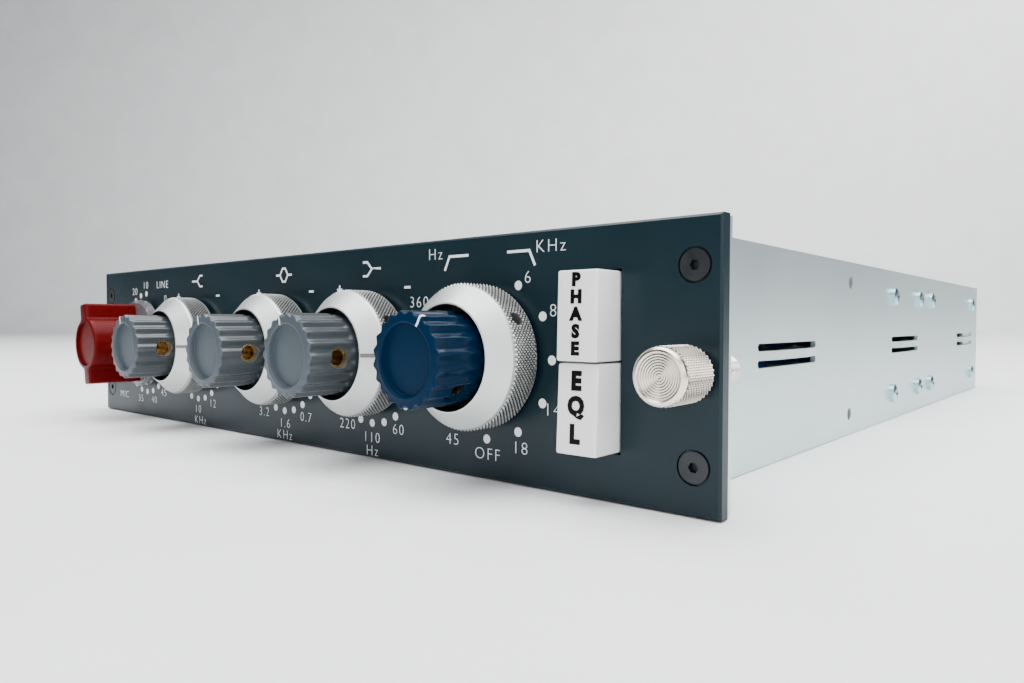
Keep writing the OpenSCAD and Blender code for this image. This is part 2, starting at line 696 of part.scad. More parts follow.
// Fluted knob with a recessed front, its pointer line at the given turn, moved outward by seat
module fluted_knob(turn, seat) translate([0, 0, seat]) rotate(turn) difference() {
    rod(knob_r, knob_back, knob_top);
    for (i = [0 : flutes - 1]) rotate((i + 0.5) * 360 / flutes)
        translate([knob_r + flute_r - flute_depth, 0, 0]) rod(flute_r, knob_collar_top, knob_top + cut);
    rod(recess_r, knob_top - recess_d, knob_top + cut);
    rod(spindle_r + seat_gap, knob_back - cut, spindle_front - min(knob_seat) + 0.2);
    rotate(knob_screw_turn) translate([0, 0, knob_screw_h]) rotate([0, 90, 0])
        rod(knob_screw_r, 0, knob_r + cut);
    translate([recess_r - cut, -pointer_w / 2, knob_top - pointer_d]) cube([knob_r, pointer_w, cut]);
}

module hf_knob() color("#7c8890") on_panel(hf_x, mid_z) fluted_knob(grey_pointer, knob_seat[0]);
module mf_knob() color("#7c8890") on_panel(mf_x, mid_z) fluted_knob(grey_pointer, knob_seat[1]);
module lf_knob() color("#7c8890") on_panel(lf_x, mid_z) fluted_knob(grey_pointer, knob_seat[2]);
module filter_knob() color("#12365c") on_panel(filter_x, filter_z) fluted_knob(filter_pointer, knob_seat[3]);

// Brass insert in a knob's side; the bottom of its bore is the grub screw that clamps the spindle
module knob_screw(turn, seat) translate([0, 0, knob_screw_h + seat]) rotate(turn + knob_screw_turn)
    rotate([0, 90, 0]) difference() {
        rod(knob_screw_r - seat_gap, spindle_r + seat_gap, knob_r - 1.5);
        rod(knob_screw_r - 0.65, knob_r - 4.6, knob_r);
        translate([0, 0, knob_r - 5.4]) cylinder(r = 0.7, h = 1, $fn = 6);
    }

module hf_knob_screw() color("#b08a3e") on_panel(hf_x, mid_z) knob_screw(grey_pointer, knob_seat[0]);
module mf_knob_screw() color("#b08a3e") on_panel(mf_x, mid_z) knob_screw(grey_pointer, knob_seat[1]);
module lf_knob_screw() color("#b08a3e") on_panel(lf_x, mid_z) knob_screw(grey_pointer, knob_seat[2]);
module filter_knob_screw() color("#b08a3e") on_panel(filter_x, filter_z)
    knob_screw(filter_pointer, knob_seat[3]);

// ---- Gain knob ----

gain_spindle_front = gain_knob_top - 4;
gain_screw_h = 10;
gain_screw_r = 1.8;

module gain_skirt() color("#9aa0a6", 0.6) on_panel(gain_x, mid_z) rotate_extrude() polygon([
    [tube_r + seat_gap, skirt_top - skirt_web], [nut_flats / sqrt(3) + 0.5, skirt_top - skirt_web],
    [nut_flats / sqrt(3) + 0.5, ring_gap], [skirt_r - 0.3, ring_gap], [skirt_r, ring_gap + 0.3],
    [skirt_r, skirt_top - 0.8], [skirt_r - 0.8, skirt_top], [tube_r + seat_gap, skirt_top]]);

module gain_knob() color("#8c1d1f") on_panel(gain_x, mid_z) rotate(wing_turn) difference() {
    height = gain_knob_top - skirt_top;
    union() {
        rod(gain_knob_r, skirt_top, gain_knob_top);
        translate([-wing_w / 2, -wing_reach + wing_w / 4, skirt_top])
            cube([wing_w, 2 * wing_reach - wing_w / 2, height]);
        for (up = [-1, 1]) intersection() {
            translate([-wing_w / 2, up * (wing_reach - 1) - 1, skirt_top]) cube([wing_w, 2, height]);
            translate([0, up * (wing_reach - wing_w), 0]) rod(wing_w, skirt_top, gain_knob_top);
        }
    }
    rod(gain_knob_r - 1, gain_knob_top - 0.8, gain_knob_top + cut);
    rod(tube_r + seat_gap, skirt_top - cut, gain_spindle_front + 0.2);
    translate([0, 0, gain_screw_h]) rotate([0, -90, 0]) rod(gain_screw_r, 0, gain_knob_r + cut);
}

module gain_spindle() color("#c9c9c4") on_panel(gain_x, mid_z)
    rod(tube_r, spindle_back(gain_wafers), gain_spindle_front);

module gain_knob_screw() color("#b08a3e") on_panel(gain_x, mid_z) rotate(wing_turn)
    translate([0, 0, gain_screw_h]) rotate([0, -90, 0]) difference() {
        rod(gain_screw_r - seat_gap, tube_r + seat_gap, gain_knob_r - 1);
        translate([-0.35, -gain_screw_r, gain_knob_r - 2]) cube([0.7, 2 * gain_screw_r, 2]);
    }

// ---- Push buttons ----

// Square bar along the button's axis, grown by a gap on each side
module plunger_bar(from, to, gap)
    translate([(button_w - plunger_w) / 2 - gap, (button_h - plunger_w) / 2 - gap, from])
        cube([plunger_w + 2 * gap, plunger_w + 2 * gap, to - from]);

// Button cap with its lower left corner at the origin and its front at z = button_reach
module button_cap() difference() {
    translate([0, 0, -button_back]) bevel_plate(button_w, button_h, button_back + button_reach, 0.3);
    plunger_bar(-button_back - cut, -button_back + socket_depth, seat_gap);
}

module button_plunger() {
    front = -button_back + socket_depth - 0.1;
    plunger_bar(front - plunger_l, front, 0);
}

module phase_button() color("#f1f1ee") on_panel(button_x - button_w / 2, button_top_z) button_cap();
module eql_button() color("#f1f1ee") on_panel(button_x - button_w / 2, button_bottom_z) button_cap();
module phase_plunger() color("#d8d8d2") on_panel(button_x - button_w / 2, button_top_z) button_plunger();
module eql_plunger() color("#d8d8d2") on_panel(button_x - button_w / 2, button_bottom_z) button_plunger();

module switch_bank() color("#2b2d30") on_panel(button_x, 0) difference() {
    bank_z = window_z - bank_post_h;
    post_l = bank_front - case_y0 + eps;
    bank_back = -bank_front - bank_l;
    union() {
        translate([-bank_w / 2, bank_z, bank_back]) cube([bank_w, window_h + 2 * bank_post_h, bank_l]);
        for (z = [bank_z, bank_z + window_h + bank_post_h])
            translate([-button_w / 2, z, -bank_front - eps]) cube([button_w, bank_post_h, post_l]);
    }
    for (z = [button_bottom_z, button_top_z]) translate([-button_w / 2, z, 0])
        plunger_bar(bank_back + 2, cut - bank_front, plunger_gap);
}

// ---- Thumbscrew ----

module thumbscrew() color("#dcdad4") on_panel(thumb_x, thumb_z) {
    head_top = thumb_gap + thumb_l;
    rotate_extrude() polygon([
        [0, -thumb_reach], [thumb_shank_r - 1.4, -thumb_reach], [thumb_shank_r, -thumb_reach + thumb_tip],
        [thumb_shank_r, -clip_y - clip_t - groove_gap], [groove_r, -clip_y - clip_t - groove_gap],
        [groove_r, -clip_y + groove_gap], [thumb_shank_r, -clip_y + groove_gap],
        [thumb_shank_r, thumb_gap], [thumb_r - 0.4, thumb_gap], [thumb_r, thumb_gap + 0.4],
        [thumb_r, head_top - 0.5], [thumb_r - 0.5, head_top], [thumb_r - 0.9, head_top],
        [0, head_top - 0.6]]);
}

// Spring clip that keeps the thumbscrew in the panel
module thumbscrew_clip() color("#b9b9b2") on_panel(thumb_x, thumb_z) difference() {
    rod(clip_r, -clip_y - clip_t, -clip_y);
    rod(groove_r + running_gap, -clip_y - clip_t - cut, -clip_y + cut);
    translate([-clip_r - cut, -1.4, -clip_y - clip_t - cut]) cube([clip_r + cut, 2.8, clip_t + 2 * cut]);
}

front_panel();
sub_panel();
left_rail();
right_rail();
rear_panel();
top_cover();
bottom_cover();
panel_screws();
cover_screws();
rail_screws();
rear_connector();
connector_blades();
connector_screws();
main_board();
board_pillars();
card_sockets();
amplifier_cards();
card_capacitors();
transformer_tray();
small_transformers();
output_transformer();
filter_inductors();
gain_switch();
hf_control();
mf_control();
lf_control();
filter_control();
control_nuts();
switch_bank();
gain_skirt();
gain_knob();
gain_spindle();
gain_knob_screw();
hf_ring();
mf_ring();
lf_ring();
filter_ring();
hf_tube();
mf_tube();
lf_tube();
filter_tube();
hf_knob();
mf_knob();
lf_knob();
filter_knob();
hf_spindle();
mf_spindle();
lf_spindle();
filter_spindle();
hf_knob_screw();
mf_knob_screw();
lf_knob_screw();
filter_knob_screw();
phase_button();
eql_button();
phase_plunger();
eql_plunger();
thumbscrew();
thumbscrew_clip();
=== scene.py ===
"""Looks of the microphone preamp module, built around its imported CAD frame.

Pieces on the panel are modelled in panel coordinates: x to the right of the panel's middle, up from
its lower edge, and out of its front face towards the user, all in millimetres.
"""

import json
import math
from itertools import product

import bmesh
import bpy
import numpy as np
from mathutils import Euler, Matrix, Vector

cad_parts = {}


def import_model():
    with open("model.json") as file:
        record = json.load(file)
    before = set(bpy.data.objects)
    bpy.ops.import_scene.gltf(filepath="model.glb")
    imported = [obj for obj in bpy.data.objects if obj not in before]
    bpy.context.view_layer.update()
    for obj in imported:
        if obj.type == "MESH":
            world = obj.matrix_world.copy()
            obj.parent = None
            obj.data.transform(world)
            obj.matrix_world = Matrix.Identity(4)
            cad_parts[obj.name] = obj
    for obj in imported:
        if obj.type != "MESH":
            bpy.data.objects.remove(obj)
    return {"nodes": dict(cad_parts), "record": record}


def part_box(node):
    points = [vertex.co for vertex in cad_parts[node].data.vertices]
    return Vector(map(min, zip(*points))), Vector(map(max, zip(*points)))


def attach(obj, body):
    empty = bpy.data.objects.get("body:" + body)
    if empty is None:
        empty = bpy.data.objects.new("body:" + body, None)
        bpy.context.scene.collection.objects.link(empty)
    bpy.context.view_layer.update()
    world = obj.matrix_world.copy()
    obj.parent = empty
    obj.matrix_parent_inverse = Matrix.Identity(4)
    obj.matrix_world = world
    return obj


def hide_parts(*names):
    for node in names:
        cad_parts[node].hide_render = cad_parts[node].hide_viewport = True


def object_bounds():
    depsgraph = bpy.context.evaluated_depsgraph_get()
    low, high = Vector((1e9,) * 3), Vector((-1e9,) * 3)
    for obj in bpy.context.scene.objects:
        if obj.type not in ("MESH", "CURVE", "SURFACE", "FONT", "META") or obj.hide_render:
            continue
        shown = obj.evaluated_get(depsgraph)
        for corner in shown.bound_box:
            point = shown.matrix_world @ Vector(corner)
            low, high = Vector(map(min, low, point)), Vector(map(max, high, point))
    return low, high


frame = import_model()
CAD_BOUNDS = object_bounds()

MM = 0.001
TAU = 2 * math.pi

# ---------------------------------------------------------------- places, read from the frame

PANEL_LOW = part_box("front_panel")[0]


def panel_middle(node):
    """(x, up) of the middle of a node, in panel coordinates."""
    low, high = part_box(node)
    return (low.x + high.x) / 2 / MM, ((low.z + high.z) / 2 - PANEL_LOW.z) / MM


def out_range(node):
    """(back, front) of a node as distances out of the panel's front face."""
    low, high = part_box(node)
    return (PANEL_LOW.y - high.y) / MM, (PANEL_LOW.y - low.y) / MM


def world(x, up, out):
    """Panel coordinates to the frame's metres."""
    return (x * MM, PANEL_LOW.y - out * MM, PANEL_LOW.z + up * MM)


GAIN_AT = panel_middle("gain_skirt")
CONTROL_AT = {name: panel_middle(name + "_ring") for name in ("hf", "mf", "lf", "filter")}
MID_UP = GAIN_AT[1]

# ---------------------------------------------------------------- mesh helpers

BOX_FACES = [(0, 1, 3, 2), (4, 6, 7, 5), (0, 4, 5, 1), (2, 3, 7, 6), (0, 2, 6, 4), (1, 5, 7, 3)]

def add_mesh(name, verts, faces, smooth=True, sharp_angle=35):
    """New object from vertices in metres; edges sharper than sharp_angle stay sharp."""
    mesh = bpy.data.meshes.new(name)
    mesh.from_pydata([tuple(v) for v in verts], [], faces)
    mesh.validate()
    obj = bpy.data.objects.new(name, mesh)
    bpy.context.scene.collection.objects.link(obj)
    tidy = bmesh.new()
    tidy.from_mesh(mesh)
    bmesh.ops.remove_doubles(tidy, verts=tidy.verts, dist=1e-7)
    bmesh.ops.recalc_face_normals(tidy, faces=tidy.faces)
    limit = math.radians(sharp_angle)
    for face in tidy.faces:
        face.smooth = smooth
    for edge in tidy.edges:
        if len(edge.link_faces) == 2 and edge.calc_face_angle(0) > limit:
            edge.smooth = False
    tidy.to_mesh(mesh)
    tidy.free()
    return obj


def ring_points(rings, centre):
    """World places of rings' points; a ring is a list of (x, up, out) offsets from centre, an (x, up)."""
    return [world(centre[0] + x, centre[1] + up, out) for ring in rings for x, up, out in ring]


def loft(name, rings, centre, **options):
    """Skin between rings of offsets from centre, closed at both ends."""
    steps = len(rings[0])
    faces = []
    for level in range(len(rings) - 1):
        for i in range(steps):
            a = level * steps + i
            b = level * steps + (i + 1) % steps
            faces.append((a, b, b + steps, a + steps))
    faces.append(tuple(range(steps)))
    faces.append(tuple(range((len(rings) - 1) * steps, len(rings) * steps)))
    return add_mesh(name, ring_points(rings, centre), faces, **options)


def circle(radius, out, steps=96, turn=0.0):
    """Ring of offsets on a circle, anticlockwise as the user sees it."""
    return [
        (radius * math.cos(TAU * i / steps + turn), radius * math.sin(TAU * i / steps + turn), out)
        for i in range(steps)
    ]


def arc_profile(start, end, centre, steps=4):
    """Points of a quarter round from start to end about its centre, in (radius, out)."""
    points = []
    for i in range(steps + 1):
        t = i / steps * math.pi / 2
        points.append(
            tuple(c + (a - c) * math.cos(t) + (b - c) * math.sin(t) for a, b, c in zip(start, end, centre))
        )
    return points


def join(name, objects):
    """One object from several, keeping each one's materials."""
    bpy.ops.object.select_all(action="DESELECT")
    for obj in objects:
        obj.select_set(True)
    bpy.context.view_layer.objects.active = objects[0]
    bpy.ops.object.join()
    objects[0].name = name
    objects[0].data.name = name
    return objects[0]


def curve_to_mesh(obj):
    """Turns a text or curve object into a mesh, with its place and turn applied."""
    bpy.ops.object.select_all(action="DESELECT")
    obj.select_set(True)
    bpy.context.view_layer.objects.active = obj
    bpy.ops.object.convert(target="MESH")
    bpy.ops.object.transform_apply(location=True, rotation=True, scale=True)
    return bpy.context.object


def finish_piece(obj, material, body, replaces=()):
    """Gives a piece its material, the body that it rides on, and the nodes that it stands for."""
    obj.data.materials.clear()
    obj.data.materials.append(material)
    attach(obj, body)
    if replaces:
        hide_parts(*replaces)
    return obj


# ---------------------------------------------------------------- material helpers


class Surface:
    """A Principled material with procedural colour, roughness and relief, in object coordinates."""

    def __init__(self, name, metallic=0.0, **sockets):
        self.material = bpy.data.materials.new(name)
        self.material.use_nodes = True
        self.tree = self.material.node_tree
        self.shader = self.tree.nodes["Principled BSDF"]
        self.shader.inputs["Metallic"].default_value = metallic
        for socket, value in sockets.items():
            self.shader.inputs[socket.replace("_", " ")].default_value = value
        self.coords = self.tree.nodes.new("ShaderNodeTexCoord").outputs["Object"]
        self.height = None

    def node(self, kind, **inputs):
        """New shader node with inputs set by name, each to a value or a link."""
        made = self.tree.nodes.new(kind)
        for socket, value in inputs.items():
            self.link(made.inputs[socket.replace("_", " ")], value)
        return made

    def link(self, socket, value):
        """Links a node's output to socket, or sets a plain value."""
        if isinstance(value, bpy.types.NodeSocket):
            self.tree.links.new(value, socket)
        else:
            socket.default_value = value

    def stretched(self, scale):
        """Object coordinates scaled by a vector, for grain that runs along one axis."""
        mapping = self.node("ShaderNodeMapping", Vector=self.coords)
        mapping.inputs["Scale"].default_value = scale
        return mapping.outputs["Vector"]

    def noise(self, scale, detail=3.0, vector=None, distortion=0.0):
        """Fractal noise between 0 and 1."""
        made = self.node(
            "ShaderNodeTexNoise",
            Vector=vector or self.coords,
            Scale=scale,
            Detail=detail,
            Roughness=0.55,
            Distortion=distortion,
        )
        return made.outputs["Fac"]

    def ramp(self, value, stops):
        """Colour ramp through (position, colour) stops."""
        made = self.node("ShaderNodeValToRGB", Fac=value)
        elements = made.color_ramp.elements
        while len(elements) < len(stops):
            elements.new(0.5)
        for element, (position, colour) in zip(elements, stops):
            element.position = position
            element.color = (*colour, 1.0)
        return made.outputs["Color"]

    def spread(self, value, low, high):
        """Maps the middle of a noise's span to low and high."""
        made = self.node("ShaderNodeMapRange", Value=value)
        made.inputs["From Min"].default_value = 0.3
        made.inputs["From Max"].default_value = 0.7
        made.inputs["To Min"].default_value = low
        made.inputs["To Max"].default_value = high
        return made.outputs["Result"]

    def colour(self, value):
        """Sets the base colour."""
        self.link(self.shader.inputs["Base Color"], value)
        return self

    def mottled(self, base, amount=0.1, scale=60.0, tint=(1.0, 1.0, 1.0)):
        """Base colour drifting between darker and lighter, with a tint at one end."""
        dark = tuple(max(c * (1 - amount), 0.0) for c in base)
        light = tuple(min(c * (1 + amount) * t, 1.0) for c, t in zip(base, tint))
        return self.colour(self.ramp(self.noise(scale), [(0.3, dark), (0.7, light)]))

    def painted_cavity_shade(self, stops, reach=0.0006):
        """Colour by how open the surface is to its surroundings, so that grooves come out dark: painted
        shade.
        """
        shade = self.node("ShaderNodeAmbientOcclusion", Distance=reach)
        shade.samples = 8
        shade.only_local = True
        drift = self.spread(self.noise(120), -0.04, 0.04)
        total = self.node("ShaderNodeMath")
        total.operation = "ADD"
        self.link(total.inputs[0], shade.outputs["AO"])
        self.link(total.inputs[1], drift)
        return self.ramp(total.outputs["Value"], stops)

    def rough(self, low, high, scale):
        """Roughness drifting between low and high."""
        self.link(self.shader.inputs["Roughness"], self.spread(self.noise(scale), low, high))
        return self

    def relief(self, value, distance, strength=1.0):
        """Adds a bump of the given height in metres on top of what is already there."""
        bump = self.node("ShaderNodeBump", Height=value)
        bump.inputs["Strength"].default_value = strength
        bump.inputs["Distance"].default_value = distance
        if self.height is not None:
            self.tree.links.new(self.height, bump.inputs["Normal"])
        self.height = bump.outputs["Normal"]
        self.link(self.shader.inputs["Normal"], self.height)
        return self


# ---------------------------------------------------------------- materials


def panel_paint():
    """Satin slate-teal enamel with a faint orange peel."""
    made = Surface("panel_paint", Specular_IOR_Level=0.24)
    made.mottled((0.0034, 0.0140, 0.0200), amount=0.10, scale=35, tint=(1.0, 1.03, 1.05))
    made.rough(0.30, 0.37, scale=90)
    made.relief(made.noise(1500, detail=2), 0.00002, 0.25)
    made.relief(made.noise(160, detail=1), 0.00006, 0.12)
    return made.material


def zinc_steel():
    """Bright zinc plate with a faint blue passivation and fine rolling grain along the sheet."""
    made = Surface("zinc_steel", metallic=1.0)
    cloud = made.noise(22, detail=4, distortion=0.6)
    shades = [(0.25, (0.61, 0.71, 0.725)), (0.5, (0.64, 0.74, 0.75)), (0.8, (0.675, 0.77, 0.77))]
    made.colour(made.ramp(cloud, shades))
    made.rough(0.40, 0.445, scale=55)
    made.relief(made.noise(420, detail=3, vector=made.stretched((6.0, 0.35, 6.0))), 0.000012, 0.5)
    made.relief(made.noise(2600, detail=2), 0.000008, 0.5)
    return made.material


def plain_metal(name, base, low, high):
    """Turned or plated metal with a fine grain."""
    made = Surface(name, metallic=1.0)
    made.mottled(base, amount=0.07, scale=90)
    made.rough(low, high, scale=300)
    made.relief(made.noise(1800, detail=3), 0.00001, 0.6)
    return made.material


def ring_aluminium():
    """Bead-blasted, clear anodised aluminium."""
    made = Surface("ring_aluminium", metallic=1.0)
    shades = [(0.5, (0.03, 0.03, 0.03)), (0.78, (0.20, 0.21, 0.205)), (0.97, (0.64, 0.66, 0.66))]
    # Colour darkens with ambient occlusion: painted shade in the knurl's grooves and down the ring's well.
    made.colour(made.painted_cavity_shade(shades, reach=0.002))
    made.rough(0.50, 0.60, scale=400)
    made.relief(made.noise(4200, detail=2), 0.00002, 0.35)
    return made.material


def moulded_plastic(name, base, low, high, amount=0.06, specular=0.5):
    """Injection-moulded plastic with a fine spark texture."""
    made = Surface(name, Specular_IOR_Level=specular)
    made.mottled(base, amount=amount, scale=70)
    made.rough(low, high, scale=180)
    made.relief(made.noise(2400, detail=2), 0.000012, 0.5)
    return made.material


def nickel():
    """Bright, slightly warm nickel plate, with painted shade darkening its knurl's grooves."""
    made = Surface("plated_steel", metallic=1.0)
    shades = [(0.5, (0.08, 0.07, 0.06)), (0.78, (0.40, 0.36, 0.31)), (0.97, (0.80, 0.74, 0.66))]
    made.colour(made.painted_cavity_shade(shades))
    made.rough(0.24, 0.36, scale=300)
    made.relief(made.noise(1800, detail=3), 0.00001, 0.6)
    return made.material


def brass():
    """Turned brass, with painted shade darkening it down inside a bore."""
    made = Surface("brass", metallic=1.0)
    shades = [(0.12, (0.03, 0.018, 0.007)), (0.4, (0.36, 0.23, 0.085)), (0.85, (0.68, 0.50, 0.24))]
    made.colour(made.painted_cavity_shade(shades, reach=0.003))
    made.rough(0.2, 0.32, scale=300)
    made.relief(made.noise(1800, detail=3), 0.00001, 0.6)
    return made.material


def clear_acrylic():
    """Clear plastic with a faint haze."""
    made = Surface("clear_acrylic", IOR=1.49, Transmission_Weight=0.85)
    made.mottled((0.62, 0.60, 0.64), amount=0.03, scale=80)
    made.rough(0.12, 0.2, scale=200)
    made.relief(made.noise(900, detail=2), 0.00001, 0.3)
    return made.material


def panel_ink():
    """White screen-printed ink."""
    made = Surface("panel_ink")
    made.mottled((0.80, 0.84, 0.87), amount=0.04, scale=700)
    made.rough(0.45, 0.6, scale=500)
    made.relief(made.noise(3000, detail=2), 0.000008, 0.5)
    return made.material


def circuit_board():
    """Green solder mask over tracks, with tinned pads in rows."""
    made = Surface("circuit_board", Specular_IOR_Level=0.5)
    tracks = made.node("ShaderNodeTexBrick", Vector=made.coords, Scale=160.0)
    tracks.inputs["Color1"].default_value = (0.012, 0.13, 0.045, 1)
    tracks.inputs["Color2"].default_value = (0.018, 0.17, 0.06, 1)
    tracks.inputs["Mortar"].default_value = (0.03, 0.24, 0.10, 1)
    tracks.inputs["Mortar Size"].default_value = 0.03
    made.colour(tracks.outputs["Color"])
    made.rough(0.3, 0.45, scale=200)
    made.relief(tracks.outputs["Fac"], 0.00003, 0.5)
    return made.material


def blue_sleeve():
    """Blue shrink sleeve with a pale stripe down one side."""
    made = Surface("blue_sleeve", Specular_IOR_Level=0.5, Coat_Weight=0.4)
    stripes = made.node("ShaderNodeTexWave", Vector=made.coords, Scale=45.0, Distortion=0.2)
    stripes.bands_direction = "Z"
    shades = [(0.0, (0.012, 0.10, 0.36)), (0.86, (0.02, 0.17, 0.52)), (0.93, (0.5, 0.6, 0.7))]
    made.colour(made.ramp(stripes.outputs["Fac"], shades))
    made.rough(0.25, 0.35, scale=200)
    made.relief(made.noise(800, detail=2), 0.00001, 0.4)
    return made.material


def switch_phenolic():
    """Brown paper laminate of switch wafers, with darker fibres."""
    made = Surface("phenolic", Specular_IOR_Level=0.4)
    fibres = made.noise(300, detail=5, vector=made.stretched((1.0, 1.0, 3.0)))
    made.colour(made.ramp(fibres, [(0.3, (0.14, 0.06, 0.02)), (0.7, (0.32, 0.16, 0.06))]))
    made.rough(0.4, 0.55, scale=150)
    made.relief(fibres, 0.00003, 0.4)
    return made.material


def screening_can():
    """Grey lacquered can with a fine hammer finish."""
    made = Surface("screening_can", metallic=0.4, Coat_Weight=0.2)
    made.mottled((0.20, 0.22, 0.235), amount=0.12, scale=60)
    made.rough(0.35, 0.5, scale=150)
    cells = made.node("ShaderNodeTexVoronoi", Vector=made.coords, Scale=700.0)
    made.relief(cells.outputs["Distance"], 0.00004, 0.5)
    return made.material


def ferrite():
    """Ground ferrite core with pits."""
    made = Surface("ferrite", metallic=0.3)
    pits = made.noise(1200, detail=5)
    made.colour(made.ramp(pits, [(0.35, (0.025, 0.023, 0.022)), (0.65, (0.07, 0.066, 0.062))]))
    made.rough(0.45, 0.65, scale=400)
    made.relief(pits, 0.00003, 0.6)
    return made.material


MATERIALS = {
    "panel_paint": panel_paint(),
    "zinc_steel": zinc_steel(),
    "blue_zinc": plain_metal("blue_zinc", (0.42, 0.60, 0.64), 0.25, 0.35),
    "black_steel": plain_metal("black_steel", (0.045, 0.048, 0.052), 0.35, 0.5),
    "plated_steel": nickel(),
    "spindle_steel": plain_metal("spindle_steel", (0.56, 0.56, 0.54), 0.25, 0.4),
    "ring_aluminium": ring_aluminium(),
    "grey_plastic": moulded_plastic("grey_plastic", (0.052, 0.068, 0.082), 0.34, 0.44, specular=0.25),
    "blue_plastic": moulded_plastic("blue_plastic", (0.0002, 0.0130, 0.0370), 0.28, 0.38, specular=0.05),
    "red_plastic": moulded_plastic("red_plastic", (0.088, 0.0010, 0.0016), 0.26, 0.36, specular=0.08),
    "clear_acrylic": clear_acrylic(),
    "white_plastic": moulded_plastic("white_plastic", (0.80, 0.81, 0.79), 0.3, 0.4, amount=0.015),
    "brass": brass(),
    "circuit_board": circuit_board(),
    "phenolic": switch_phenolic(),
    "blue_sleeve": blue_sleeve(),
    "screening_can": screening_can(),
    "ferrite": ferrite(),
    "black_plastic": moulded_plastic("black_plastic", (0.02, 0.021, 0.023), 0.4, 0.55),
}
INK = panel_ink()
LEGEND_BLACK = moulded_plastic("legend_black", (0.002, 0.002, 0.003), 0.3, 0.4, specular=0.1)
POINTER_WHITE = moulded_plastic("pointer_white", (0.82, 0.83, 0.83), 0.4, 0.5)
MARK_GREY = moulded_plastic("mark_grey", (0.14, 0.14, 0.13), 0.6, 0.7)
# Near-black painted shade for the faces down in a ring's narrow well, which are the ring's own aluminium.
WELL_PAINTED_SHADE = moulded_plastic("well_painted_shade", (0.006, 0.006, 0.006), 0.6, 0.7, specular=0.2)
# Darker, glossier copies of the knob plastics for the fluted sides: the darker colour is painted shade, the
# lower roughness is the sides' own glossier finish.
FLUTE_PAINTED_SHADES = {
    "grey_plastic": moulded_plastic("grey_flutes_painted_shade", (0.040, 0.049, 0.055), 0.18, 0.26),
    "blue_plastic": moulded_plastic("blue_flutes_painted_shade", (0.0002, 0.0105, 0.030), 0.18, 0.26, specular=0.2),
}

for subpart in frame["record"]["subparts"]:
    cad_mesh = frame["nodes"][subpart["node"]].data
    cad_mesh.materials.clear()
    cad_mesh.materials.append(MATERIALS[subpart["material_slot"]])

# ---------------------------------------------------------------- knurled rings

RING_KNURLS = 100
KNURL_ROWS = 14
KNURL_DEPTH = 0.36
RING_BORE = 3.05
RING_WELL_R = 9.35
# Back and front of the web inside a ring, out of the panel.
RING_WEB = (2.7, 7.1)
RING_EDGE = 0.5
# Place of the grub screw's hole: degrees anticlockwise from the right, and distance out of the panel.
GRUB_HOLE_TURN = 32
GRUB_HOLE_OUT = 4.6
GRUB_HOLE_R = 1.3


def knurl_rings(radius, back, front, count, depth, rows, taper=0.0):
    """Rings of a diamond knurl: grooves cross at alternate points, with a pyramid's tip between them."""
    rings = []
    steps = 2 * count
    for row in range(rows + 1):
        out = back + (front - back) * row / rows
        ring = []
        for i in range(steps):
            groove = (i + row) % 2 == 0
            edge = row in (0, rows)
            r = radius - (depth if groove or edge else 0.0) - taper * row / rows
            angle = TAU * i / steps
            ring.append((r * math.cos(angle), r * math.sin(angle), out))
        rings.append(ring)
    return rings


def band_faces(rings, first_band, rows):
    """Faces between rings, with the knurled rows split into diamonds."""
    steps = len(rings[0])
    faces = []
    for level in range(len(rings) - 1):
        row = level - first_band
        for i in range(steps):
            a = level * steps + i
            b = level * steps + (i + 1) % steps
            c, d = b + steps, a + steps
            if not 0 <= row < rows:
                faces.append((a, b, c, d))
            elif (i + row) % 2 == 0:
                faces += [(a, b, c), (a, c, d)]
            else:
                faces += [(a, b, d), (b, c, d)]
    return faces


def radial_hole(obj, centre, turn, out, radius, inner, outer):
    """Cuts a round hole along a radius of a turned piece."""
    angle = math.radians(turn)
    middle = (inner + outer) / 2
    bpy.ops.mesh.primitive_cylinder_add(
        vertices=40, radius=radius * MM, depth=(outer - inner) * MM,
        location=world(centre[0] + middle * math.cos(angle), centre[1] + middle * math.sin(angle), out),
        rotation=Euler((0, math.pi / 2 - angle, 0)),
    )
    cut_with(obj, bpy.context.object)


def cut_with(obj, cutter):
    """Boolean difference, applied, and the cutter removed."""
    modifier = obj.modifiers.new("cut", "BOOLEAN")
    modifier.operation = "DIFFERENCE"
    modifier.solver = "EXACT"
    modifier.object = cutter
    bpy.context.view_layer.objects.active = obj
    bpy.ops.object.modifier_apply(modifier=modifier.name)
    bpy.data.objects.remove(cutter)


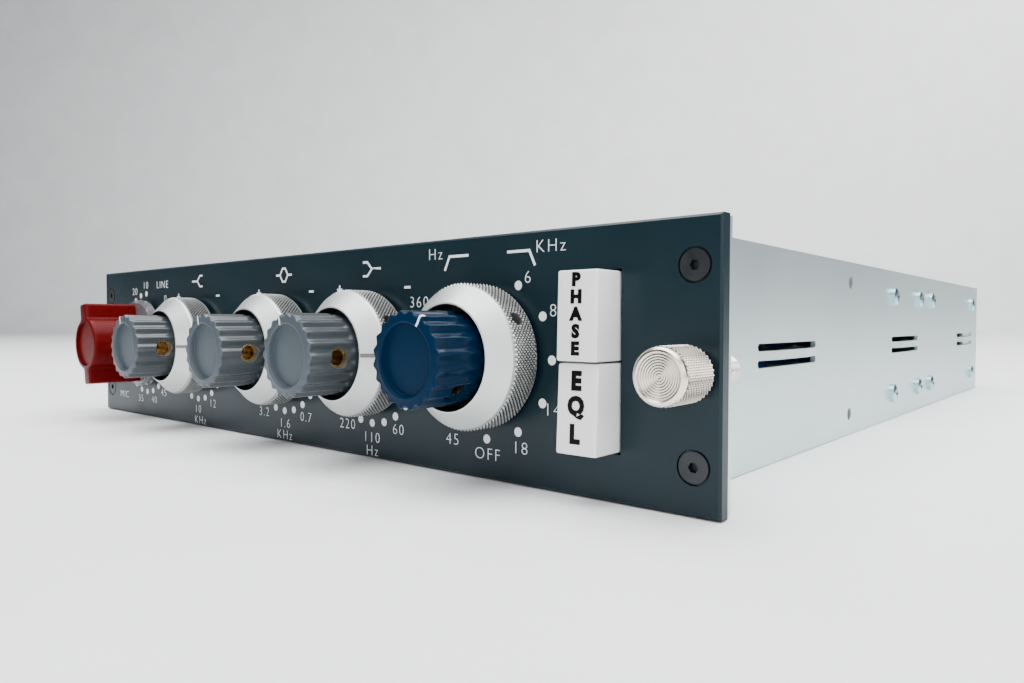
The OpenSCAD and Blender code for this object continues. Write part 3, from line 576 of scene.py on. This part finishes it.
def ring_piece(name, mark_turn):
    """Outer ring: bead-blasted face, diamond-knurled band, grub screw hole and an engraved mark."""
    centre = CONTROL_AT[name]
    back, front = out_range(name + "_ring")
    low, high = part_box(name + "_ring")
    radius = (high.x - low.x) / 2 / MM
    web_back, web_front = RING_WEB
    band_back, band_front = back + 0.55, web_front + 0.15
    rim = radius - KNURL_DEPTH
    inner_rim = rim - RING_EDGE
    steps = 2 * RING_KNURLS
    profile = [(RING_BORE, web_back), (RING_WELL_R, web_back), (RING_WELL_R, back), (inner_rim, back)]
    profile += arc_profile((inner_rim, back), (rim, band_back), (inner_rim, band_back), 3)[1:]
    rings = [circle(r, out, steps) for r, out in profile]
    rings += knurl_rings(radius, band_back, band_front, RING_KNURLS, KNURL_DEPTH, KNURL_ROWS)[1:-1]
    shoulder = (radius - RING_EDGE, band_front + 0.35)
    lip = (RING_WELL_R + 0.45, front - 0.1)
    face = [(rim, band_front), shoulder, lip, (RING_WELL_R + 0.2, front), (RING_WELL_R, front - 0.2)]
    face += [(RING_WELL_R, web_front), (RING_BORE, web_front)]
    rings += [circle(r, out, steps) for r, out in face]
    rings.append(rings[0])
    first_band = len(profile) - 1
    faces = band_faces(rings, first_band, KNURL_ROWS)
    ring = add_mesh(name + "_ring_turned", ring_points(rings, centre), faces, sharp_angle=22)
    radial_hole(ring, centre, GRUB_HOLE_TURN, GRUB_HOLE_OUT, GRUB_HOLE_R, 8.0, radius + 1)
    finish_piece(ring, MATERIALS["ring_aluminium"], name + "_outer", [name + "_ring"])

    def in_well(spread, out, facing):
        return spread < RING_WELL_R + 0.1 and out > web_front - 0.1

    # The faces down in the well take the near-black painted shade.
    second_material(ring, WELL_PAINTED_SHADE, in_well, centre)
    mark = ring_mark(name + "_ring_mark", centre, mark_turn, shoulder, lip)
    finish_piece(mark, MARK_GREY, name + "_outer")
    return ring


def second_material(obj, material, wanted, centre):
    """Second material on the faces that wanted(radius, out, facing) picks.

    facing is 1 for a face that looks at the user.
    """
    obj.data.materials.append(material)
    middle = Vector(world(centre[0], centre[1], 0))
    for face in obj.data.polygons:
        out = (PANEL_LOW.y - face.center.y) / MM
        spread = math.hypot(face.center.x - middle.x, face.center.z - middle.z) / MM
        if wanted(spread, out, -face.normal.y):
            face.material_index = 1


def ring_mark(name, centre, turn, outer, inner):
    """Paint in the line engraved down the ring's sloping face, between two (radius, out) points."""
    angle = math.radians(turn)
    half, lift = 0.4, 0.04
    verts = []
    for depth in (lift, -0.3):
        for radius, out in (outer, inner):
            for side in (-half, half):
                x = radius * math.cos(angle) - side * math.sin(angle)
                up = radius * math.sin(angle) + side * math.cos(angle)
                verts.append(world(centre[0] + x, centre[1] + up, out + depth))
    return add_mesh(name, verts, BOX_FACES, smooth=False)


# ---------------------------------------------------------------- fluted knobs

KNOB_FLUTES = 20
FLUTE_DEPTH = 0.6
KNOB_COLLAR = 2.8
KNOB_RECESS_R = 6.2
KNOB_RECESS_DEPTH = 1.1
GREY_POINTER_TURN = 107
BLUE_POINTER_TURN = 62
# Hole for the brass insert: its turn is counted from the pointer.
INSERT_R = 2.2
INSERT_ABOVE_BACK = 5.8
INSERT_TURN = -110


def flute(angle):
    """How far a flute cuts in at an angle: zero on the ridges, its full depth in the valleys."""
    return FLUTE_DEPTH * (0.5 - 0.5 * math.cos(angle * KNOB_FLUTES)) ** 0.8


def knob_piece(name, material, pointer_turn, long_line):
    """Fluted knob with a rounded rim, a recessed front and a smooth collar at the back."""
    centre = CONTROL_AT[name]
    back, front = out_range(name + "_knob")
    low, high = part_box(name + "_knob")
    radius = (high.z - low.z) / 2 / MM
    collar, floor = back + KNOB_COLLAR, front - KNOB_RECESS_DEPTH
    steps = KNOB_FLUTES * 12
    turn = math.radians(pointer_turn)

    def fluted(r, out, share=1.0):
        ring = []
        for i in range(steps):
            angle = TAU * i / steps
            rr = r - flute(angle) * share
            ring.append((rr * math.cos(angle + turn), rr * math.sin(angle + turn), out))
        return ring

    body_r = radius - 0.2
    plain = [(2.2, back), (body_r - 0.3, back), (body_r, back + 0.3), (body_r, collar - 0.6)]
    rings = [circle(r, out, steps, turn) for r, out in plain]
    for i in range(1, 6):
        share = math.sin(i / 5 * math.pi / 2)
        rings.append(fluted(body_r + 0.2 * share, collar - 0.6 + i * 0.25, share))
    rings.append(fluted(radius, front - 2))
    round_start, round_end = (radius, front - 0.4), (radius - 0.4, front)
    for r, out in arc_profile(round_start, round_end, (radius - 0.4, front - 0.4), 4):
        rings.append(fluted(r, out))
    bead = [(0.62, front - 0.03), (0.5, front + 0.05), (0.28, front + 0.09), (0.1, front + 0.03)]
    well = [(0.0, front - 0.12), (-0.06, floor + 0.08), (-0.14, floor), (-0.9, floor)]
    rings += [circle(KNOB_RECESS_R + step, out, steps, turn) for step, out in bead + well]
    rings.append(circle(0.5, floor, steps, turn))
    knob = loft(name + "_knob_moulded", rings, centre, sharp_angle=40)
    insert_turn, insert_out = pointer_turn + INSERT_TURN, back + INSERT_ABOVE_BACK
    radial_hole(knob, centre, insert_turn, insert_out, INSERT_R, 1.0, radius + 1)
    finish_piece(knob, MATERIALS[material], name + "_inner", [name + "_knob"])

    def on_side(spread, out, facing):
        return spread > KNOB_RECESS_R + 0.6 and facing < 0.35

    # The fluted side takes the darker copy of its plastic as painted shade.
    second_material(knob, FLUTE_PAINTED_SHADES[material], on_side, centre)
    side_to = front - 1.9 if long_line else None
    inner = KNOB_RECESS_R + 0.2
    line = pointer_line(name + "_pointer", centre, pointer_turn, inner, radius, front, side_to)
    finish_piece(line, POINTER_WHITE, name + "_inner")
    return knob


def pointer_line(name, centre, turn, inner, outer, front, side_to):
    """White line across the knob's rim, and down its side as far as side_to."""
    angle = math.radians(turn)
    lift, half = 0.025, 0.2
    path = [(inner, front + 0.11), (inner + 0.5, front + lift), (outer - 0.42, front + lift)]
    if side_to is not None:
        path += arc_profile(
            (outer - 0.4, front + lift), (outer + lift, front - 0.4), (outer - 0.4, front - 0.4), 4
        )[1:]
        path.append((outer + lift, side_to + 0.9))
    else:
        path.append((outer - 0.1, front - 0.1))
    verts = []
    for radius, out in path:
        for side in (-half, half):
            for sink in (0.0, 0.15):
                x = (radius - sink) * math.cos(angle) - side * math.sin(angle)
                up = (radius - sink) * math.sin(angle) + side * math.cos(angle)
                verts.append(world(centre[0] + x, centre[1] + up, out - sink))
    faces = [(0, 1, 3, 2)]
    for i in range(len(path) - 1):
        a = 4 * i
        faces += [(a, a + 2, a + 6, a + 4), (a + 1, a + 5, a + 7, a + 3)]
        faces += [(a, a + 4, a + 5, a + 1), (a + 2, a + 3, a + 7, a + 6)]
    last = 4 * (len(path) - 1)
    faces.append((last, last + 2, last + 3, last + 1))
    return add_mesh(name, verts, faces, smooth=False)


# ---------------------------------------------------------------- gain knob

GAIN_BODY_R = 7.6
GAIN_WING_REACH = 11.9
GAIN_WING_W = 4.2
GAIN_REST_TURN = 7.5
GAIN_RECESS_R = 6.5
GAIN_RECESS_DEPTH = 0.75


def outline_of_wings(radius, reach, width, fillet=0.8, tip=0.9, steps=10):
    """Outline of a round knob with two opposite wings, upright, anticlockwise from the right."""
    half = width / 2
    join_x = half + fillet
    join_y = math.sqrt((radius + fillet) ** 2 - join_x**2)
    start = math.atan2(join_y, join_x)
    quarter = []
    for i in range(3 * steps + 1):
        angle = start * i / (3 * steps)
        quarter.append((radius * math.cos(angle), radius * math.sin(angle)))
    for i in range(1, steps + 1):
        angle = math.pi + start * (1 - i / steps)
        quarter.append((join_x + fillet * math.cos(angle), join_y + fillet * math.sin(angle)))
    for i in range(steps + 1):
        angle = math.pi / 2 * i / steps
        quarter.append((half - tip + tip * math.cos(angle), reach - tip + tip * math.sin(angle)))
    upper = quarter + [(-x, y) for x, y in reversed(quarter)]
    lower = [(x, -y) for x, y in reversed(upper)]
    points = upper + lower
    kept = []
    for point in points:
        if not kept or math.dist(point, kept[-1]) > 0.02:
            kept.append(point)
    if math.dist(kept[0], kept[-1]) < 0.02:
        kept.pop()
    return kept


def inset(points, distance):
    """Closed outline moved inward by distance along its normals."""
    moved = []
    count = len(points)
    for i, (x, y) in enumerate(points):
        ax, ay = points[i - 1]
        bx, by = points[(i + 1) % count]
        tx, ty = bx - ax, by - ay
        length = math.hypot(tx, ty)
        moved.append((x - distance * ty / length, y + distance * tx / length))
    return moved


def gain_knob_piece():
    """Red knob with two wings, a softened front edge and a shallow round recess."""
    back, front = out_range("gain_knob")
    turn = math.radians(GAIN_REST_TURN)
    outline = outline_of_wings(GAIN_BODY_R, GAIN_WING_REACH, GAIN_WING_W)

    def level(points, out):
        return [
            (x * math.cos(turn) - y * math.sin(turn), x * math.sin(turn) + y * math.cos(turn), out)
            for x, y in points
        ]

    rings = [level(inset(outline, 0.3), back), level(outline, back + 0.3), level(outline, front - 1.2)]
    for drop, out in ((0.0, front - 0.5), (0.12, front - 0.2), (0.35, front - 0.05), (0.6, front)):
        rings.append(level(inset(outline, drop), out))
    knob = loft("gain_knob_moulded", rings, GAIN_AT, sharp_angle=35)
    cutter_l = 2.0
    bpy.ops.mesh.primitive_cylinder_add(
        vertices=96,
        radius=GAIN_RECESS_R * MM,
        depth=cutter_l * MM,
        location=world(*GAIN_AT, front + cutter_l / 2 - GAIN_RECESS_DEPTH),
        rotation=Euler((math.pi / 2, 0, 0)),
    )
    cut_with(knob, bpy.context.object)
    finish_piece(knob, MATERIALS["red_plastic"], "gain_control", ["gain_knob"])
    return knob


# ---------------------------------------------------------------- push buttons and legends

# Height of a capital in the built-in font at size 1.
CAPITAL_HEIGHT = 0.73
# (height, width, weight) of the letters on the buttons.
PHASE_LETTER = (2.05, 1.06, 0.062)
EQL_LETTER = (2.9, 0.95, 0.062)
# A button leans from this far out of the panel, about a line this share of its half height below its middle.
LEAN_FROM = 1.0
LEAN_PIVOT = 0.6


def rounded_block(name, low, high, radius, steps=4):
    """Block in panel coordinates with rounded edges, from a subdivided bevel."""
    mesh = bmesh.new()
    verts = [mesh.verts.new(world(*corner)) for corner in product(*zip(low, high))]
    for face in BOX_FACES:
        mesh.faces.new([verts[i] for i in face])
    bmesh.ops.recalc_face_normals(mesh, faces=mesh.faces)
    bmesh.ops.bevel(
        mesh,
        geom=mesh.edges[:] + mesh.verts[:],
        offset=radius * MM,
        segments=steps,
        profile=0.5,
        affect="EDGES",
    )
    data = bpy.data.meshes.new(name)
    for face in mesh.faces:
        face.smooth = True
    mesh.to_mesh(data)
    mesh.free()
    obj = bpy.data.objects.new(name, data)
    bpy.context.scene.collection.objects.link(obj)
    return obj


def text_mesh(name, text, x, up, out, height, width, weight, thickness=0.02, spacing=1.0):
    """Flat lettering on a plane parallel to the panel, centred on (x, up).

    height is a capital's height; width and spacing stretch the letters and the gaps between them, and
    weight thickens their strokes.
    """
    curve = bpy.data.curves.new(name, "FONT")
    curve.body = text
    curve.align_x = "CENTER"
    curve.align_y = "CENTER"
    curve.size = 1.0
    curve.space_character = spacing
    curve.offset = weight
    curve.extrude = thickness / height / 2
    curve.resolution_u = 3
    obj = bpy.data.objects.new(name, curve)
    bpy.context.scene.collection.objects.link(obj)
    bpy.context.view_layer.update()
    scale = height / CAPITAL_HEIGHT * MM
    obj.scale = (scale * width, scale, scale)
    obj.rotation_euler = Euler((math.pi / 2, 0, 0))
    obj.location = world(x, up, out)
    obj = curve_to_mesh(obj)
    low = Vector([min(v.co[k] for v in obj.data.vertices) for k in range(3)])
    high = Vector([max(v.co[k] for v in obj.data.vertices) for k in range(3)])
    target = Vector(world(x, up, out))
    shift = target - (low + high) / 2
    for vertex in obj.data.vertices:
        vertex.co.x += shift.x
        vertex.co.z += shift.z
    return obj


def button_piece(name, legend, droop, letter, spacing, shift):
    """White button cap whose front leans out at the bottom, with a legend down its face.

    letter is (height, width, weight) of the letters; shift moves the legend up. The front turns by
    droop degrees about a line below its middle.
    """
    low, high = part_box(name + "_button")
    back, front = out_range(name + "_button")
    x0, x1 = low.x / MM, high.x / MM
    up0, up1 = (low.z - PANEL_LOW.z) / MM, (high.z - PANEL_LOW.z) / MM
    cap = rounded_block(name + "_button_moulded", (x0, up0, back), (x1, up1, front), 0.4)
    middle = (up0 + up1) / 2
    top = middle + shift + spacing * (len(legend) - 1) / 2
    letters = []
    for i, character in enumerate(legend):
        place = (x0 + x1) / 2 - 0.1, top - i * spacing, front
        letters.append(text_mesh(f"{name}_letter_{i}", character, *place, *letter, thickness=0.16))
    legend_piece = join(name + "_legend", letters)
    lean = math.tan(math.radians(droop))
    pivot = middle - LEAN_PIVOT * (up1 - up0) / 2
    for piece in (cap, legend_piece):
        for vertex in piece.data.vertices:
            out = (PANEL_LOW.y - vertex.co.y) / MM
            if out > LEAN_FROM:
                up = (vertex.co.z - PANEL_LOW.z) / MM
                vertex.co.y += (up - pivot) * lean * MM
    finish_piece(cap, MATERIALS["white_plastic"], name + "_key", [name + "_button"])
    finish_piece(legend_piece, LEGEND_BLACK, name + "_key")
    return cap


# ---------------------------------------------------------------- panel print

# Text, control, and the place of its middle from the control's axis.
LABELS = [
    ("6", "filter", 9.85, 14.7), ("8", "filter", 15.55, 8.7), ("14", "filter", 15.75, -8.6),
    ("18", "filter", 8.45, -16.1), ("OFF", "filter", 0.15, -18.1), ("45", "filter", -9.15, -16.2),
    ("360", "filter", -18.65, 10.7), ("Hz", "filter", -13.75, 20.1), ("KHz", "filter", 15.05, 20.0),
    ("220", "lf", -8.75, -16.2), ("110", "lf", 0.05, -18.4), ("60", "lf", 8.55, -15.9),
    ("Hz", "lf", 0.05, -21.3),
    ("3.2", "mf", -9.25, -16.2), ("1.6", "mf", 0.35, -18.35), ("0.7", "mf", 9.05, -16.1),
    ("KHz", "mf", 0.0, -21.2),
    ("10", "hf", 0.1, -18.2), ("12", "hf", 8.5, -16.1), ("KHz", "hf", 1.2, -21.3),
]
# Text and place from the gain control's axis.
GAIN_LABELS = [
    ("35", -4.7, -17.6), ("40", 4.7, -17.5), ("45", 11.2, -14.9), ("MIC", -16.9, -17.1),
    ("20", -8.3, 16.2), ("10", -0.2, 18.0), ("0", 12.9, 13.6), ("LINE", 11.1, 17.9),
]
# Angles of the dots round each control, anticlockwise from the right.
DOT_TURNS = {
    "filter": (60, 30, 0, -30, -60, -90, -120, -150, 180, 150),
    "lf": (-120, -105, -90, -75, -60, -45, -30),
    "mf": (-180, -150, -120, -105, -90, -75, -60, -45, -30),
    "hf": (-105, -90, -75, -60, -45, -30),
    "gain": tuple(range(-150, -44, 15)) + tuple(range(90, 181, 15)),
}
LABEL_LETTER = (2.4, 1.03, -0.022)
GAIN_LETTER = (2.3, 1.1, -0.018)
DOT_RADIUS = 0.85
DOT_CIRCLE = 15.3
PRINT_OUT = 0.015
STROKE = 0.5
SYMBOL_UP = 18.1
PLUS_AT = (-11.4, 13.9)
MINUS_AT = (11.5, 13.8)


def print_dot(x, up, index):
    """Raised round dot of ink."""
    profile = [(DOT_RADIUS, -PRINT_OUT), (DOT_RADIUS, PRINT_OUT), (DOT_RADIUS - 0.06, 2 * PRINT_OUT)]
    return loft(f"dot_{index}", [circle(r, out, 28) for r, out in profile], (x, up), smooth=False)


def stroke_outline(walk, width):
    """Outline of a stroke: a walk along its middle line and back, kept on the walker's left."""
    outline = []
    count = len(walk)
    for i, here in enumerate(walk):
        here = Vector(here)
        along_in = (here - Vector(walk[i - 1])).normalized()
        along_out = (Vector(walk[(i + 1) % count]) - here).normalized()
        side_in = Vector((-along_in.y, along_in.x)) * width / 2
        side_out = Vector((-along_out.y, along_out.x)) * width / 2
        if along_in.dot(along_out) < -0.999:
            outline += [here + side_in, here + side_out]
        else:
            corner = side_in + side_out
            outline.append(here + corner * (width / 2) ** 2 * 2 / corner.length_squared)
    return outline


def print_shape(name, x, up, outlines):
    """Ink filled between closed outlines around (x, up); an inner outline leaves a hole."""
    curve = bpy.data.curves.new(name, "CURVE")
    curve.dimensions = "2D"
    curve.fill_mode = "BOTH"
    curve.extrude = 0.012 * MM
    for outline in outlines:
        spline = curve.splines.new("POLY")
        spline.points.add(len(outline) - 1)
        for point, place in zip(spline.points, outline):
            point.co = (place[0] * MM, place[1] * MM, 0, 1)
        spline.use_cyclic_u = True
    obj = bpy.data.objects.new(name, curve)
    bpy.context.scene.collection.objects.link(obj)
    obj.rotation_euler = Euler((math.pi / 2, 0, 0))
    obj.location = world(x, up, PRINT_OUT)
    return curve_to_mesh(obj)


def there_and_back(points):
    """Walk along an open line to its end and back to just after its start."""
    return points + points[-2:0:-1]


def filter_shapes():
    """Symbols of the filter: a high-pass and a low-pass curve."""
    x, up = CONTROL_AT["filter"][0], MID_UP + SYMBOL_UP
    high_pass = [(-11.2, -1.4), (-9.9, 1.3), (-4.8, 1.3)]
    low_pass = [(5.0, 1.3), (10.2, 1.3), (11.5, -1.4)]
    shapes = []
    for name, line in (("high_pass", high_pass), ("low_pass", low_pass)):
        shapes.append(print_shape(name, x, up, [stroke_outline(there_and_back(line), STROKE)]))
    return shapes


def shelf_shape(name, side):
    """Fork symbol of a shelving control, its stem towards the given side."""
    x, up = CONTROL_AT[name][0], MID_UP + SYMBOL_UP
    arms = [[(side * 1.5, way * 1.5), (side * 3.0, way * 1.5)] for way in (1, -1)]
    walk = [(-side * 3.0, 0), (0, 0), *arms[0], arms[0][0], (0, 0), *arms[1], arms[1][0], (0, 0)]
    return print_shape(name + "_fork", x, up, [stroke_outline(walk, STROKE)])


def bell_shape():
    """Bell symbol: a lozenge between two stems."""
    x, up = CONTROL_AT["mf"][0], MID_UP + SYMBOL_UP
    over = [(-1.7, 0), (-0.6, 1.6), (0.6, 1.6), (1.7, 0)]
    under = [(px, -py) for px, py in over[-2:0:-1]]
    outside = [(-3.4, 0), *over, (3.4, 0), (1.7, 0), *under, (-1.7, 0)]
    inside = over + under
    outlines = [stroke_outline(outside, STROKE), stroke_outline(inside[::-1], STROKE)]
    return print_shape("mf_bell", x, up, outlines)


def sign_shapes(name):
    """Plus and minus on either side of a control."""
    x = CONTROL_AT[name][0]
    arm = 0.95
    plus = []
    for px, py in ((arm, 0), (0, arm), (-arm, 0), (0, -arm)):
        plus += [(px, py), (0, 0)]
    minus = [(-arm, 0), (arm, 0)]
    shapes = []
    for sign, (dx, dup), line in (("plus", PLUS_AT, plus), ("minus", MINUS_AT, minus)):
        shapes.append(print_shape(f"{name}_{sign}", x + dx, MID_UP + dup, [stroke_outline(line, STROKE)]))
    return shapes


def panel_print():
    """All white print on the panel, as one piece."""
    parts = []
    for index, (text, control, dx, dup) in enumerate(LABELS):
        place = CONTROL_AT[control][0] + dx, MID_UP + dup, PRINT_OUT
        parts.append(text_mesh(f"label_{index}", text, *place, *LABEL_LETTER, spacing=1.2))
    for index, (text, dx, dup) in enumerate(GAIN_LABELS):
        place = GAIN_AT[0] + dx, MID_UP + dup, PRINT_OUT
        parts.append(text_mesh(f"gain_label_{index}", text, *place, *GAIN_LETTER, spacing=1.18))
    dots = 0
    for control, turns in DOT_TURNS.items():
        x = GAIN_AT[0] if control == "gain" else CONTROL_AT[control][0]
        for turn in turns:
            angle = math.radians(turn)
            place = x + DOT_CIRCLE * math.cos(angle), MID_UP + DOT_CIRCLE * math.sin(angle)
            parts.append(print_dot(*place, dots))
            dots += 1
    parts += filter_shapes()
    parts += [shelf_shape("lf", -1), shelf_shape("hf", 1), bell_shape()]
    for name in ("lf", "mf", "hf"):
        parts += sign_shapes(name)
    return finish_piece(join("panel_print", parts), INK, "case")


# ---------------------------------------------------------------- thumbscrew


def thumbscrew_piece():
    """Nickel thumbscrew: knurled head with a turned, dished front, and a shank with a pointed end."""
    low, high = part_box("thumbscrew")
    centre = panel_middle("thumbscrew")
    back, front = out_range("thumbscrew")
    radius = (high.x - low.x) / 2 / MM
    shank, groove, head_l, pitch = 2.4, 1.9, 9.4, 0.8
    clip_back, clip_front = out_range("thumbscrew_clip")
    head_back = front - head_l
    count, depth, rows = 36, 0.32, 22
    steps = 2 * count
    rim = radius - depth
    profile = [(0.9, back), (1.9, back + 1.4)]
    turns = int((clip_back - 0.3 - (back + 1.6)) / (pitch / 2))
    for i in range(turns):
        profile.append((shank - (0.32 if i % 2 else 0.0), back + 1.8 + i * pitch / 2))
    profile += [(shank, clip_back - 0.15), (groove, clip_back - 0.15), (groove, clip_front + 0.15)]
    profile += [(shank, clip_front + 0.15), (shank, head_back)]
    profile += [(rim - 0.4, head_back), (rim, head_back + 0.4)]
    rings = [circle(r, out, steps) for r, out in profile]
    rings += knurl_rings(radius, head_back + 0.4, front - 0.75, count, depth, rows)[1:-1]
    face = [(radius - 0.1, front - 0.75), (radius - 0.2, front - 0.4), (radius - 0.5, front - 0.1)]
    face.append((radius - 0.8, front))
    turned = 18
    for i in range(1, turned):
        r = (radius - 0.9) * (1 - i / turned)
        dish = 0.3 * math.sin(i / turned * math.pi / 2)
        face.append((r, front - 0.1 - dish - (0.09 if i % 2 else 0.0)))
    rings += [circle(r, out, steps) for r, out in face]
    faces = [tuple(range(steps)), tuple(range((len(rings) - 1) * steps, len(rings) * steps))]
    faces += band_faces(rings, len(profile) - 1, rows)
    screw = add_mesh("thumbscrew_turned", ring_points(rings, centre), faces, sharp_angle=25)
    finish_piece(screw, MATERIALS["plated_steel"], "thumbscrew", ["thumbscrew"])
    return screw


# ---------------------------------------------------------------- build the pieces

for control_name in ("hf", "mf", "lf"):
    ring_piece(control_name, 0)
    knob_piece(control_name, "grey_plastic", GREY_POINTER_TURN, False)
ring_piece("filter", 180)
knob_piece("filter", "blue_plastic", BLUE_POINTER_TURN, True)
gain_knob_piece()
button_piece("phase", "PHASE", 1.6, PHASE_LETTER, 2.75, 0.3)
button_piece("eql", "EQL", 2.8, EQL_LETTER, 4.25, 0.35)
panel_print()
thumbscrew_piece()

for plate in ("left_rail", "right_rail", "top_cover", "bottom_cover"):
    edge = frame["nodes"][plate].modifiers.new("soft_edges", "BEVEL")
    edge.width = 0.25 * MM
    edge.segments = 2
    edge.limit_method = "ANGLE"

# ---------------------------------------------------------------- floor, light and camera


VIEW_YAW = 40.49


def stage():
    """Pale floor that turns up into a backdrop square to the camera's view."""
    depth, rise, radius, half = 1.72, 2.2, 0.10, 4.5
    path = [(-4.0, 0.0)]
    for i in range(9):
        angle = math.pi / 2 * i / 8
        path.append((depth - radius + radius * math.sin(angle), radius - radius * math.cos(angle)))
    path.append((depth, rise))
    turn = math.radians(VIEW_YAW)
    verts = []
    for along, z in path:
        for side in (-half, half):
            x = side * math.cos(turn) - along * math.sin(turn)
            y = side * math.sin(turn) + along * math.cos(turn)
            verts.append((x, y, z + CAD_BOUNDS[0].z - 0.0002))
    faces = [(2 * i, 2 * i + 1, 2 * i + 3, 2 * i + 2) for i in range(len(path) - 1)]
    floor = add_mesh("floor", verts, faces, sharp_angle=60)
    paper = Surface("floor_paper")
    paper.mottled((0.90, 0.91, 0.92), amount=0.03, scale=14)
    paper.rough(0.6, 0.8, scale=40)
    paper.relief(paper.noise(90, detail=5, vector=paper.stretched((1.0, 2.5, 1.0))), 0.0006, 0.35)
    floor.data.materials.append(paper.material)


def along_view(right, forward, up):
    """Place in metres given along the camera's view from above the frame's origin."""
    turn = math.radians(VIEW_YAW)
    return (
        right * math.cos(turn) - forward * math.sin(turn),
        right * math.sin(turn) + forward * math.cos(turn),
        up,
    )


def area_light(name, place, target, size, power):
    """White rectangular light at place, aimed at target."""
    data = bpy.data.lights.new(name, "AREA")
    data.shape = "RECTANGLE"
    data.size, data.size_y = size
    data.energy = power
    light = bpy.data.objects.new(name, data)
    light.location = place
    light.rotation_euler = (Vector(target) - Vector(place)).to_track_quat("-Z", "Y").to_euler()
    bpy.context.scene.collection.objects.link(light)


def lights():
    """Soft studio light: broad overhead, weaker from the front and right, and one on the backdrop."""
    world_data = bpy.data.worlds.new("studio")
    world_data.use_nodes = True
    background = world_data.node_tree.nodes["Background"]
    background.inputs["Color"].default_value = (0.80, 0.86, 0.92, 1)
    background.inputs["Strength"].default_value = 0.06
    bpy.context.scene.world = world_data
    area_light("overhead", (0.1, -0.1, 1.1), (0.05, 0.1, 0), (1.6, 1.2), 45)
    area_light("front", (0.55, -1.5, 0.45), (0.0, 0.0, 0.05), (1.3, 0.8), 10)
    area_light("right", (1.2, -0.35, 0.5), (0.1, -0.02, 0.0), (0.9, 0.7), 8)
    area_light("backdrop", along_view(1.3, 0.8, 1.25), along_view(0.9, 1.72, 0.3), (1.6, 0.5), 26)


def camera():
    """Camera close to the panel's right end, at the photograph's viewing angle."""
    place = (158.1, 29.45, 102.4)
    pitch, roll = -1.48, -0.1
    data = bpy.data.cameras.new("camera")
    data.sensor_width = 36
    data.lens = 26.05
    data.clip_start = 0.005
    obj = bpy.data.objects.new("camera", data)
    obj.location = world(*place)
    obj.rotation_euler = Euler((math.radians(90 + pitch), math.radians(roll), math.radians(VIEW_YAW)))
    bpy.context.scene.collection.objects.link(obj)
    bpy.context.scene.camera = obj


stage()
lights()
camera()


def plain(bounds):
    """Bounds as plain lists of numbers."""
    return [[float(value) for value in corner] for corner in bounds]
